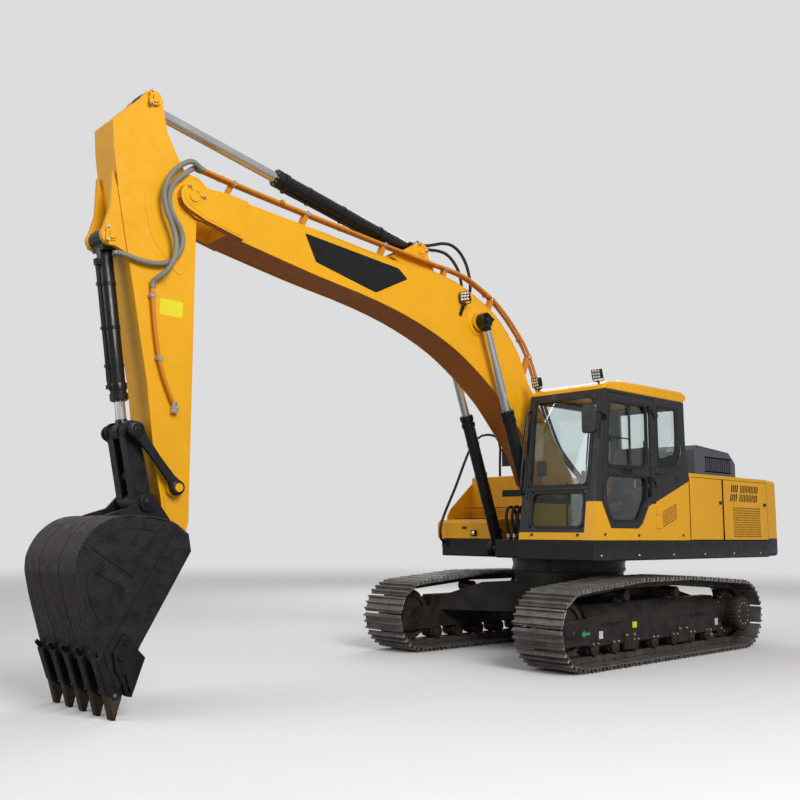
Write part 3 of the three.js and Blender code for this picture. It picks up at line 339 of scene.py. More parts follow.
def moulded(name, color, roughness, grain=320, depth=0.0006):
    """Moulded plastic or rubber with a fine grain."""
    s = Surface(name, color, roughness)
    s.tint(s.times(s.noise(4, 4), 0.4), [c * 1.5 + 0.004 for c in color])
    s.rough(s.noise(22, 4), roughness * 0.8, min(1, roughness * 1.25))
    s.bump(s.noise(grain, 2), depth, 0.4)
    return s.material


def glass(name, color):
    s = Surface(name, color, 0.02)
    s.tint(s.times(s.noise(2.5, 3), 0.3), [c * 0.9 for c in color])
    s.rough(s.noise(5, 4), 0.01, 0.035)
    s.bump(s.noise(1.6, 1), 0.002, 0.05)
    s.set(Transmission_Weight=1.0, IOR=1.45)
    return s.material


YELLOW = paint("yellow_paint", (0.90, 0.43, 0.006), 0.34)
# The body yellow made darker and redder for the steel pipes: painted shade.
PIPE_PAINTED_SHADE = paint("pipe_yellow_painted_shade", (0.66, 0.24, 0.012), 0.34)
CHARCOAL = paint("charcoal_paint", (0.026, 0.026, 0.029), 0.42, coat=0.1)
BLACK = paint("black_paint", (0.0065, 0.0065, 0.0075), 0.32, coat=0.2)
DUSTY = paint("dusty_black_paint", (0.0105, 0.0102, 0.010), 0.42, coat=0.15, dust=0.28)
NAVY = paint("navy_paint", (0.006, 0.009, 0.022), 0.3, coat=0.4)
TRACK = worn_steel("track_steel", (0.13, 0.115, 0.10), (0.085, 0.052, 0.034), 0.48, 0.5)
TREAD = worn_steel("tread_steel", (0.27, 0.255, 0.24), (0.12, 0.088, 0.066), 0.40, 0.6, 0.6, 9)
WHEEL = worn_steel("wheel_steel", (0.055, 0.045, 0.038), (0.075, 0.040, 0.022), 0.5, 0.4)
BUCKET = worn_steel("bucket_steel", (0.0095, 0.0098, 0.013), (0.022, 0.019, 0.018), 0.40, 0.35, 0.45, 3)
WORN = worn_steel("worn_steel", (0.036, 0.033, 0.032), (0.062, 0.045, 0.034), 0.38, 0.6, 0.7, 4)
CHROME = polished("chrome", (0.88, 0.88, 0.88), 0.22)
ZINC = brushed("zinc", (0.62, 0.60, 0.55), 0.34)
RUBBER = moulded("rubber", (0.012, 0.012, 0.012), 0.55)
SLEEVE = moulded("hose_sleeve", (0.21, 0.205, 0.165), 0.6, 180, 0.0012)
PLASTIC = moulded("dark_plastic", (0.022, 0.022, 0.024), 0.5)
GLASS = glass("tinted_glass", (0.87, 0.94, 0.93))

WORN_BOLT = brushed("bolt_steel", (0.34, 0.30, 0.26), 0.4, 0.8)
LENS = brushed("lamp_lens", (0.86, 0.87, 0.85), 0.18, 0.7)
BEACON = moulded("pale_plastic", (0.80, 0.78, 0.70), 0.3)
MIRROR = brushed("mirror_glass", (0.82, 0.84, 0.85), 0.04)

# The hood's charcoal made a lighter grey-blue: a painted sky reflection on its top.
HOOD_SKY_REFLECTION = paint("hood_painted_sky_reflection", (0.085, 0.093, 0.120), 0.36, coat=0.2)
LABEL = paint("pale_label", (0.86, 0.74, 0.02), 0.4, coat=0.1)
WHITE = paint("white_label", (0.72, 0.72, 0.70), 0.4, coat=0.2)
GREEN = paint("green_mark", (0.05, 0.36, 0.10), 0.4, coat=0.2)

TOOTH = worn_steel("tooth_steel", (0.075, 0.066, 0.058), (0.13, 0.070, 0.035), 0.4, 0.6, 0.7, 9)
CLOTH = moulded("seat_cloth", (0.045, 0.047, 0.052), 0.85, 520, 0.0008)
# A darker, redder copy of the yellow paint: painted shade on the boom's downward faces.
UNDERSIDE_SHADE = paint("painted_shade_underside", (0.50, 0.145, 0.012), 0.5, coat=0.05)
# A darker copy of the windshield glass for the lower pane: painted shade.
LOWER_GLASS = glass("lower_glass_painted_shade", (0.42, 0.58, 0.57))
FINISHES = {
    YELLOW: ["counterweight", "body_shell", "fuel_tank", "hydraulic_tank", "tool_box", "battery_door",
             "radiator_door", "pump_door", "cab_roof", "boom", "arm"],
    PIPE_PAINTED_SHADE: ["boom_pipes", "arm_pipe"],
    CHARCOAL: ["cab_shell", "cab_door"],
    HOOD_SKY_REFLECTION: ["engine_hood"],
    BLACK: ["revolving_frame", "left_boom_cylinder", "right_boom_cylinder", "arm_cylinder",
            "bucket_cylinder", "handrail", "left_mirror"],
    DUSTY: ["centre_frame", "swing_ring", "left_track_frame", "right_track_frame"],
    WHEEL: ["left_sprocket", "right_sprocket", "left_idler", "right_idler", "engine_block"],
    TRACK: ["left_track", "right_track"],
    BUCKET: ["bucket", "left_side_link", "right_side_link", "bucket_link"],
    CHROME: ["left_boom_rod", "right_boom_rod", "arm_rod", "bucket_rod"],
    RUBBER: ["front_hoses", "lift_hoses", "arm_hose", "bucket_hose", "ram_hoses"],
    LOWER_GLASS: ["lower_windshield"],
    GLASS: ["door_glass", "windshield", "right_glass", "quarter_glass", "rear_glass"],
    PLASTIC: ["seat_base", "travel_levers", "seat"],
}
for material, names in FINISHES.items():
    for name in names:
        data = NODES[name].data
        data.materials.clear()
        data.materials.append(material)


# ---------------------------------------------------------------- drawings and mesh tools
class Drawing:
    """A side view in millimetres: along, up and, to the left, across, at a pin and turned by an angle."""

    def __init__(self, pin, degrees=0.0):
        self.pin = pin
        self.turn = (math.cos(math.radians(degrees)), math.sin(math.radians(degrees)))

    def at(self, along, up, across=0.0):
        cosine, sine = self.turn
        x = self.pin[0] + along * cosine - up * sine
        z = self.pin[1] + along * sine + up * cosine
        return Vector((SWING_X + x / 1000, across / 1000, z / 1000))

    def way(self, along, up, across=0.0):
        return (self.at(along, up, across) - self.at(0, 0)).normalized()

    def pin_at(self, along, up):
        point = self.at(along, up)
        return ((point.x - SWING_X) * 1000, point.z * 1000)


BOOM_LENGTH, ARM_LENGTH = 5740, 2925
BOOM_TILT, ARM_TILT = 24.7, -89.3
BOOM = Drawing((150, 1700), BOOM_TILT)
ARM = Drawing(BOOM.pin_at(BOOM_LENGTH, 0), ARM_TILT)
BUCKET_PLACE = Drawing(ARM.pin_at(ARM_LENGTH, 0))
BOOM_FACE, BOOM_DOUBLER_FACE, ARM_FACE, CUTTER_FACE = 200.2, 234, 164.8, 542



def flank(view, out, side=1):
    """Places for slab() and block() on a plate of a drawing that stands out to one side."""
    return lambda a, b, depth: view.at(a, b, side * (out + depth))


WORK = {}


def bench(body, material, name=None):
    """The mesh under work for one body and one material."""
    key = (body, material, name)
    if key not in WORK:
        WORK[key] = bmesh.new()
    return WORK[key]


def shell(target, rings, closed_ends=True, loop=False):
    """Joins rings of equal length into a closed skin."""
    made = [[target.verts.new(point) for point in ring] for ring in rings]
    count = len(made[0])
    faces = []
    pairs = list(zip(made, made[1:])) + ([(made[-1], made[0])] if loop else [])
    for first, second in pairs:
        for i in range(count):
            j = (i + 1) % count
            faces.append(target.faces.new((first[i], first[j], second[j], second[i])))
    if closed_ends and not loop:
        faces.append(target.faces.new(list(reversed(made[0]))))
        faces.append(target.faces.new(made[-1]))
    bmesh.ops.recalc_face_normals(target, faces=faces)


def inset(outline, distance):
    """An outline moved inward by a distance; outlines run either way round."""
    count = len(outline)
    area = sum(outline[i - 1][0] * outline[i][1] - outline[i][0] * outline[i - 1][1] for i in range(count))
    side = 1 if area > 0 else -1
    moved = []
    for i, (x, y) in enumerate(outline):
        before, after = outline[i - 1], outline[(i + 1) % count]
        a = Vector((x - before[0], y - before[1])).normalized()
        b = Vector((after[0] - x, after[1] - y)).normalized()
        normal = Vector((-(a.y + b.y), a.x + b.x)) * side
        if normal.length < 1e-6:
            moved.append((x, y))
            continue
        normal.normalize()
        share = max(0.35, normal.dot(Vector((-a.y, a.x)) * side))
        moved.append((x + normal.x * distance / share, y + normal.y * distance / share))
    return moved


def round_corners(outline, radius, steps=4, only=None):
    """Rounds an outline's corners, each no further than 45 % of its shorter side."""
    rounded = []
    count = len(outline)
    for i, point in enumerate(outline):
        here = Vector(point)
        before, after = Vector(outline[i - 1]), Vector(outline[(i + 1) % count])
        reach = min(radius, (before - here).length * 0.45, (after - here).length * 0.45)
        if only is not None and i not in only:
            rounded.append(tuple(here))
            continue
        start = here + (before - here).normalized() * reach
        end = here + (after - here).normalized() * reach
        for step in range(steps + 1):
            t = step / steps
            spot = start * (1 - t) ** 2 + here * 2 * t * (1 - t) + end * t ** 2
            rounded.append(tuple(spot))
    return rounded


def rectangle(low, high, radius=0, steps=4):
    outline = [(low[0], low[1]), (high[0], low[1]), (high[0], high[1]), (low[0], high[1])]
    return round_corners(outline, radius, steps) if radius else outline


def arc(middle, radius, start, end, steps=8):
    turn = [math.radians(start + (end - start) * i / steps) for i in range(steps + 1)]
    return [(middle[0] + radius * math.cos(a), middle[1] + radius * math.sin(a)) for a in turn]


def slab(target, place, outline, low, high, edge=3.0):
    """A plate with chamfered edges. place turns (a, b, depth) into a point of the row frame."""
    edge = min(edge, abs(high - low) / 2.5)
    small = inset(outline, edge)
    step = edge if high > low else -edge
    levels = [(small, low), (outline, low + step), (outline, high - step), (small, high)]
    shell(target, [[place(a, b, depth) for a, b in ring] for ring, depth in levels])


def block(target, place, a, b, c, edge=3.0, radius=0):
    slab(target, place, rectangle((a[0], b[0]), (a[1], b[1]), radius), c[0], c[1], edge)


def swing(x, y, z):
    """A point of the machine's own frame, in millimetres, whose origin is under the swing axis."""
    return Vector((SWING_X + x / 1000, y / 1000, z / 1000))


def from_front(y, z, x):
    return swing(x, y, z)


def basis(axis):
    axis = Vector(axis).normalized()
    other = Vector((0, 0, 1)) if abs(axis.z) < 0.9 else Vector((1, 0, 0))
    first = axis.cross(other).normalized()
    return axis, first, axis.cross(first)


def lathe(target, origin, axis, profile, sides=32, whole=True):
    """Turns (radius, place along the axis) pairs, in millimetres, round an axis."""
    axis, first, second = basis(axis)
    rings = []
    for radius, along in profile:
        ring = []
        for i in range(sides):
            angle = math.tau * i / sides
            out = first * math.cos(angle) + second * math.sin(angle)
            ring.append(origin + axis * (along / 1000) + out * (radius / 1000))
        rings.append(ring)
    shell(target, rings, whole, not whole)


def disc_profile(radius, low, high, edge=3.0):
    return [(radius - edge, low), (radius, low + edge), (radius, high - edge), (radius - edge, high)]


def bolt(target, origin, axis, across=24.0, height=None):
    """A hexagon head on a washer."""
    height = height or across * 0.6
    lathe(target, origin, axis, disc_profile(across * 0.72, -1, across * 0.12, 1), 20)
    lathe(target, origin, axis, [(across * 0.56, 0), (across * 0.57, height * 0.8), (across * 0.47, height)], 6)


def smooth_path(points, steps=6):
    """A Catmull-Rom line through the points."""
    points = [Vector(p) for p in points]
    ends = [points[0] * 2 - points[1], *points, points[-1] * 2 - points[-2]]
    line = []
    for i in range(1, len(ends) - 2):
        a, b, c, d = ends[i - 1:i + 3]
        spans = [max((q - p).length, 1e-6) ** 0.5 for p, q in ((a, b), (b, c), (c, d))]
        t0, t1 = 0.0, spans[0]
        t2 = t1 + spans[1]
        t3 = t2 + spans[2]
        for step in range(steps):
            t = t1 + (t2 - t1) * step / steps
            a1 = a * ((t1 - t) / (t1 - t0)) + b * ((t - t0) / (t1 - t0))
            a2 = b * ((t2 - t) / (t2 - t1)) + c * ((t - t1) / (t2 - t1))
            a3 = c * ((t3 - t) / (t3 - t2)) + d * ((t - t2) / (t3 - t2))
            b1 = a1 * ((t2 - t) / (t2 - t0)) + a2 * ((t - t0) / (t2 - t0))
            b2 = a2 * ((t3 - t) / (t3 - t1)) + a3 * ((t - t1) / (t3 - t1))
            line.append(b1 * ((t2 - t) / (t2 - t1)) + b2 * ((t - t1) / (t2 - t1)))
    line.append(points[-1])
    return line


def pipe(target, points, radius, sides=16, steps=6):
    """A round tube, in millimetres of radius, along a smooth line through points of the row frame."""
    line = smooth_path(points, steps)
    tangent = (line[1] - line[0]).normalized()
    _, side, _ = basis(tangent)
    rings = []
    for i, spot in enumerate(line):
        ahead = line[min(i + 1, len(line) - 1)] - line[max(i - 1, 0)]
        tangent = ahead.normalized()
        side = (side - tangent * side.dot(tangent)).normalized()
        other = tangent.cross(side)
        turn = [math.tau * k / sides for k in range(sides)]
        rings.append([spot + (side * math.cos(a) + other * math.sin(a)) * (radius / 1000) for a in turn])
    shell(target, rings)


def finish_mesh(name, work, material, body, sharp=34):
    mesh = bpy.data.meshes.new(name)
    work.to_mesh(mesh)
    work.free()
    mesh.polygons.foreach_set("use_smooth", [True] * len(mesh.polygons))
    mesh.set_sharp_from_angle(angle=math.radians(sharp))
    mesh.materials.append(material)
    piece = bpy.data.objects.new(name, mesh)
    LINK(piece)
    if body:
        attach(piece, body)
    return piece


def finish_work():
    """Turns every bench into a piece; two benches of one body differ by material or name."""
    made = {}
    for (body, material, name), work in WORK.items():
        title = name or f"{body}-{material.name}"
        made[title] = finish_mesh(title, work, material, body)
    WORK.clear()
    return made


BODY_OF = {node: body for body, nodes in frame["record"]["behaviour"]["bodies"].items() for node in nodes}


def bake_modifiers(piece):
    """Puts what the modifiers make into the mesh itself."""
    bpy.context.view_layer.update()
    shaped = bpy.data.meshes.new_from_object(piece.evaluated_get(bpy.context.evaluated_depsgraph_get()))
    piece.modifiers.clear()
    piece.data = shaped


def refined(node, width=4.0, segments=2, weld=0.4, name=None, keep=None, second=None):
    """The CAD node with its flat faces merged and its edges rounded."""
    work = bmesh.new()
    work.from_mesh(NODES[node].data)
    bmesh.ops.remove_doubles(work, verts=work.verts, dist=weld / 1000)
    bmesh.ops.dissolve_limit(work, angle_limit=math.radians(0.6), verts=work.verts, edges=work.edges)
    for face in work.faces:
        face.material_index = 0
    if keep:
        keep(work)
    mesh = bpy.data.meshes.new(name or f"{node}-skin")
    work.to_mesh(mesh)
    work.free()
    for material in [*NODES[node].data.materials, *([second] if second else [])]:
        mesh.materials.append(material)
    piece = bpy.data.objects.new(mesh.name, mesh)
    LINK(piece)
    bevel = piece.modifiers.new("edges", "BEVEL")
    bevel.width = width / 1000
    bevel.segments = segments
    bevel.limit_method = "ANGLE"
    bevel.angle_limit = math.radians(33)
    bevel.use_clamp_overlap = True
    bake_modifiers(piece)
    piece.data.polygons.foreach_set("use_smooth", [True] * len(piece.data.polygons))
    piece.data.set_sharp_from_angle(angle=math.radians(34))
    even = piece.modifiers.new("even", "WEIGHTED_NORMAL")
    even.keep_sharp = True
    even.weight = 90
    bake_modifiers(piece)
    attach(piece, BODY_OF[node])
    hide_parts(node)
    return piece


# ---------------------------------------------------------------- tracks
AXLE_HEIGHT = 402
AXLE_REACH = 1635
PITCH_RADIUS = 317
LINK_HALF = 35
TRACK_MIDDLE = 1100
SHOE_HALF = 300
SHOE_COUNT = 45
CARRIERS = (595, -395)
CARRIER_PINS = 800
CARRIER_HEIGHT = 695


def pin_line():
    """The closed line of the track's pins, as points about 5 mm apart."""
    upper = CARRIER_PINS - AXLE_HEIGHT
    front, rear = CARRIERS[0] - AXLE_REACH, CARRIERS[1] + AXLE_REACH
    front_end = math.atan2(upper, front) - math.acos(PITCH_RADIUS / math.hypot(front, upper))
    rear_start = math.atan2(upper, rear) + math.acos(PITCH_RADIUS / math.hypot(rear, upper))
    line = [(-AXLE_REACH, AXLE_HEIGHT - PITCH_RADIUS), (AXLE_REACH, AXLE_HEIGHT - PITCH_RADIUS)]
    line += arc((AXLE_REACH, AXLE_HEIGHT), PITCH_RADIUS, -90, math.degrees(front_end), 200)
    line += [(CARRIERS[0], CARRIER_PINS), (CARRIERS[1], CARRIER_PINS)]
    line += arc((-AXLE_REACH, AXLE_HEIGHT), PITCH_RADIUS, math.degrees(rear_start), 270, 200)
    return line


def spaced(line, count):
    """count points at equal distances along a closed line."""
    pairs = list(zip(line, line[1:] + line[:1]))
    lengths = [math.dist(a, b) for a, b in pairs]
    pitch = sum(lengths) / count
    points, walked, index = [], 0.0, 0
    for i in range(count):
        goal = i * pitch
        while walked + lengths[index] < goal - 1e-9:
            walked += lengths[index]
            index += 1
        a, b = pairs[index]
        share = (goal - walked) / lengths[index]
        points.append((a[0] + (b[0] - a[0]) * share, a[1] + (b[1] - a[1]) * share))
    return points


SHOE_SECTION = [(-94, 0), (-88, 11), (-80, 11), (-74, 41), (-60, 44), (-54, 13), (-7, 11), (-1, 46), (13, 46),
                (19, 12), (62, 12), (68, 41), (82, 41), (88, 8), (97, 3), (97, -6), (84, -5), (-84, 0)]
LINK_OUTLINE = [(-22, -30), (60, -32), (128, -32), (196, -30), (216, -12), (216, 14), (196, 32), (128, 34),
                (96, 34), (60, 34), (-6, 34), (-26, 14), (-26, -12)]


def lay_track(sign, body="undercarriage"):
    """Shoes with three grousers each, bolted on a chain of links, pins and bushes."""
    name = "left" if sign > 0 else "right"
    shoes = bench(body, TREAD, f"{name}_track_shoes")
    chain = bench(body, TRACK, f"{name}_track_chain")
    bolts = bench(body, WORN_BOLT, f"{name}_track_bolts")
    pins = spaced(pin_line(), SHOE_COUNT)
    for i, start in enumerate(pins):
        end = pins[(i + 1) % SHOE_COUNT]
        angle = math.degrees(math.atan2(end[1] - start[1], end[0] - start[0]))
        link = Drawing(start, angle)
        middle = math.dist(start, end) / 2

        def outward(along, up, across, link=link):
            return link.at(along, -up, sign * (TRACK_MIDDLE + across))

        wear = random.uniform(-1.5, 1.5)
        profile = [(middle + a, LINK_HALF + b + (wear if b > 35 else 0)) for a, b in SHOE_SECTION]
        slab(shoes, outward, profile, -SHOE_HALF + 1, SHOE_HALF - 1, 5)
        for side in (-1, 1):
            scale = [(a * middle / 95, -b) for a, b in LINK_OUTLINE]
            near, far = sorted((side * 50, side * 84))
            slab(chain, outward, scale, near, far, 4)
            lathe(chain, outward(0, 0, side * 84), (0, side * sign, 0), disc_profile(21, 0, 5), 16)
            for along in (middle - 36, middle + 36):
                spot = outward(along, LINK_HALF + 12, side * 67)
                bolt(bolts, spot, outward(along, 100, 0) - outward(along, 0, 0), 19, 10)
        lathe(chain, outward(0, 0, -50), (0, sign, 0), disc_profile(27, 0, 100), 16)
    return shoes


# ---------------------------------------------------------------- cab
LEAN = (1386 - 1151) / (2806 - 1290)
HALF_WIDTH = 1340


def front_at(z):
    """Where the leaning front of the cab is at a height."""
    return 1386 - (z - 1290) * LEAN


def on_front(y, z, out):
    return swing(front_at(z) + out, y, z)


def on_left(x, z, out):
    return swing(x, HALF_WIDTH + out, z)


def on_right(x, z, out):
    return swing(x, -HALF_WIDTH - out, z)


def frame_ring(target, place, outer, inner, low, high):
    """A flat frame between two outlines with the same number of points."""
    levels = [(outer, low), (outer, high), (inner, high), (inner, low)]
    shell(target, [[place(a, b, depth) for a, b in ring] for ring, depth in levels], loop=True)


def gasket(target, place, outline, width, low, high, radius=45):
    frame_ring(target, place, round_corners(outline, radius), inset(round_corners(outline, radius), width),
               low, high)


def pierced(target, place, columns, rows, holes, low, high):
    """A plate on a grid of cut lines, open where a cell is a hole, with walls round every opening."""
    cells = {(i, j) for i in range(len(columns) - 1) for j in range(len(rows) - 1)} - holes
    made = {}

    def vertex(i, j, depth):
        key = (i, j, depth)
        if key not in made:
            made[key] = target.verts.new(place(columns[i], rows[j], depth))
        return made[key]

    faces = []
    for i, j in cells:
        corners = [(i, j), (i + 1, j), (i + 1, j + 1), (i, j + 1)]
        faces.append(target.faces.new([vertex(a, b, high) for a, b in corners]))
        faces.append(target.faces.new([vertex(a, b, low) for a, b in reversed(corners)]))
        neighbours = [(i, j - 1), (i + 1, j), (i, j + 1), (i - 1, j)]
        for k, neighbour in enumerate(neighbours):
            if neighbour not in cells:
                a, b = corners[k], corners[(k + 1) % 4]
                faces.append(target.faces.new([vertex(*b, high), vertex(*a, high), vertex(*a, low),
                                               vertex(*b, low)]))
    bmesh.ops.recalc_face_normals(target, faces=faces)


def slot_cuts(start, end, count, share):
    """Cut lines for evenly spaced slots, and the indices of the cells that are open."""
    pitch = (end - start) / count
    lines, holes = [], []
    for k in range(count):
        middle = start + pitch * (k + 0.5)
        lines += [middle - pitch * share / 2, middle + pitch * share / 2]
        holes.append(len(lines) - 2)
    return lines, holes


def grille(target, place, size_a, size_b, count_a, count_b, share_a, share_b, low, high, margin=14):
    """A rectangular plate with rows of slots."""
    cuts_a, open_a = slot_cuts(*size_a, count_a, share_a)
    cuts_b, open_b = slot_cuts(*size_b, count_b, share_b)
    columns = [size_a[0] - margin, *cuts_a, size_a[1] + margin]
    rows = [size_b[0] - margin, *cuts_b, size_b[1] + margin]
    holes = {(a + 1, b + 1) for a in open_a for b in open_b}
    pierced(target, place, columns, rows, holes, low, high)


def work_light(body, place, aim, name):
    """A square lamp with nine lenses in a finned case on a bent bracket."""
    aim = Vector(aim).normalized()
    level = Vector((0, 0, 1)).cross(aim).normalized()
    rise = aim.cross(level)

    def local(a, b, depth):
        return place + level * (a / 1000) + rise * (b / 1000) + aim * (depth / 1000)

    case = bench(body, BLACK, f"{name}_case")
    lens = bench(body, LENS, f"{name}_lenses")
    block(case, local, (-52, 52), (-52, 52), (-38, 10), 5, 12)
    for fin in range(6):
        block(case, local, (-48 + fin * 17, -42 + fin * 17), (-46, 46), (-55, -36), 1)
    for a in (-32, 0, 32):
        for b in (-32, 0, 32):
            lathe(lens, local(a, b, 9), aim, [(15, 0), (14.5, 4), (10, 7), (4, 8)], 16)
    frame_ring(case, local, rectangle((-52, -52), (52, 52), 12), rectangle((-47, -47), (47, 47), 9), 8, 16)
    pipe(case, [local(-58, 0, -12), local(-60, -50, -16), local(-46, -74, -20), local(0, -78, -20),
                local(46, -74, -20), local(60, -50, -16), local(58, 0, -12)], 5, 8, 4)
    lathe(case, local(0, -78, -20), (0, 0, -1), disc_profile(12, 0, 24, 2), 12)


def dress_cab():
    seal = bench("upper", RUBBER, "cab_seals")
    trim = bench("upper", CHARCOAL, "cab_trim")
    black = bench("upper", BLACK, "cab_black_panels")
    upper_glass = rectangle((448, 1815), (1240, 2770))
    lower_glass = rectangle((510, 1385), (1210, 1775))
    gasket(seal, on_front, upper_glass, 26, -24, 3, 90)
    gasket(seal, on_front, lower_glass, 26, -24, 3, 95)
    block(trim, on_front, (440, 1248), (1783, 1809), (-4, 9), 3)
    for y in (446, 1242):
        pipe(trim, [on_front(y, 1690, 4), on_front(y, 2200, 6), on_front(y, 2775, 4)], 9, 10, 3)
    quarter = [(-290, 2060), (150, 2060), (150, 2750), (-290, 2750)]
    seen = [(-205, 2234), (129, 2150), (133, 2712), (-236, 2718)]
    frame_ring(black, on_left, round_corners(quarter, 30), round_corners(seen, 55), -6, 2)
    pipe(trim, [on_left(168, 1985, 0), on_left(60, 2003, 2), on_left(-120, 2050, 2), on_left(-250, 2120, 2),
                on_left(-320, 2230, 2), on_left(-335, 2330, -2)], 13, 10, 5)
    lathe(trim, on_left(-262, 1965, -2), (0, 1, 0), [(36, 0), (36, 8), (30, 13), (16, 13), (14, 6), (4, 6)], 28)
    louvre = bench("upper", YELLOW, "cab_louvres")

    def sheared(a, b, depth):
        return on_left(a, b + (a - 110) * -0.34, depth)

    grille(louvre, sheared, (-215, 100), (1395, 1575), 1, 7, 0.94, 0.42, 0, 4, 9)
    # A black sheet just behind the louvre's slots: painted shade in them.
    block(black, sheared, (-218, 103), (1393, 1577), (-2, 0.6), 0.2)
    for side, y, shift, lean in (("right", 438, 6, -0.1), ("left", 1252, -4, 0.1)):
        work_light("upper", swing(1128, y + shift, 2990), (1, lean, -0.25), f"cab_light_{side}")
        bolt(trim, swing(1120, y, 2914), (0, 0, 1), 22)
    beacon = bench("upper", BEACON, "roof_domes")
    for x in (745, -330):
        lathe(trim, swing(x, 1245, 2943), (0.02, 0, 1), disc_profile(22, 0, 10, 2), 20)
        lathe(beacon, swing(x, 1245, 2952), (0.02, 0, 1), [(17, 0), (17, 10), (13, 20), (6, 26), (2, 27)], 20)
    wiper = bench("upper", BLACK, "wiper")
    foot = on_front(1222, 1800, 14)
    lathe(wiper, foot, (1, 0, 0.15), disc_profile(18, -8, 12, 3), 16)
    pipe(wiper, [foot, on_front(1215, 2050, 26), on_front(1205, 2330, 20)], 5, 8, 4)
    block(wiper, on_front, (1196, 1210), (2060, 2600), (6, 16), 2)
    rail = bench("upper", BLACK, "cab_rail")
    pipe(rail, [on_front(404, 1750, 0), on_front(402, 1775, 45), on_front(402, 1900, 60), on_front(402, 2500, 60),
                on_front(402, 2640, 45), on_front(404, 2665, 0)], 13, 14, 5)
    for z in (1450, 1600):
        block(louvre, on_left, (150, 205), (z - 55, z + 55), (-3, 12), 5, 10)
    for x, z in ((1180, 1330), (560, 1322), (-330, 1325)):
        bolt(trim, on_left(x, z, 0), (0, 1, 0), 22)
    for y in (560, 1150):
        bolt(trim, on_front(y, 1322, 0), (1, 0, 0), 22)


def dress_door():
    """Window seals, the sliding pane's bars and the handle; they turn with the door."""
    seal = bench("cab_door", RUBBER, "door_seals")
    trim = bench("cab_door", BLACK, "door_trim")
    upper = [(364, 2054), (1101, 2040), (1030, 2702), (364, 2715)]
    lower = [(1100, 1932), (371, 1936), (398, 1662), (547, 1479), (1039, 1472), (1202, 1653)]
    grown_upper = inset(round_corners(upper, 70), -26)
    grown_lower = inset(round_corners(lower, 70), -26)
    for outline, seen in ((grown_upper, round_corners(upper, 70)), (grown_lower, round_corners(lower, 70))):
        frame_ring(seal, on_left, outline, seen, -24, 2)
        frame_ring(seal, on_left, seen, inset(seen, 7), -22, -2)
    block(trim, on_left, (655, 677), (2052, 2708), (-26, -6), 2)
    block(trim, on_left, (677, 1075), (2330, 2342), (-24, -10), 1)
    for x, z in ((1050, 2320), (392, 2300)):
        block(trim, on_left, (x - 14, x + 14), (z - 38, z + 38), (-18, 2), 3, 6)
    bowl = round_corners([(640, 1968), (820, 1968), (790, 2022), (670, 2022)], 16)
    frame_ring(trim, on_left, bowl, inset(bowl, 9), -4, 5)
    block(trim, on_left, (668, 792), (2000, 2014), (0, 12), 3, 5)
    lathe(trim, on_left(850, 1996, -2), (0, 1, 0), disc_profile(15, 0, 6, 2), 16)


def dress_mirror():
    shell_part = bench("upper", BLACK, "mirror")
    outline = rectangle((1213, 2348), (1397, 2652), 42, 5)
    slab(shell_part, from_front, outline, 1343, 1371, 10)
    glass_part = bench("upper", MIRROR, "mirror_glass")
    slab(glass_part, from_front, inset(outline, 12), 1342.5, 1340.8, 0.5)
    pipe(shell_part, [swing(1142, 1352, 2540), swing(1150, 1370, 2542), swing(1200, 1384, 2550),
                      swing(1290, 1384, 2565), swing(1335, 1370, 2560), swing(1350, 1325, 2530)], 12, 14, 5)
    block(shell_part, on_left, (1112, 1172), (2500, 2580), (0.3, 16), 4, 10)
    for z in (2516, 2564):
        bolt(shell_part, on_left(1130, z, 16), (0, 1, 0), 15)


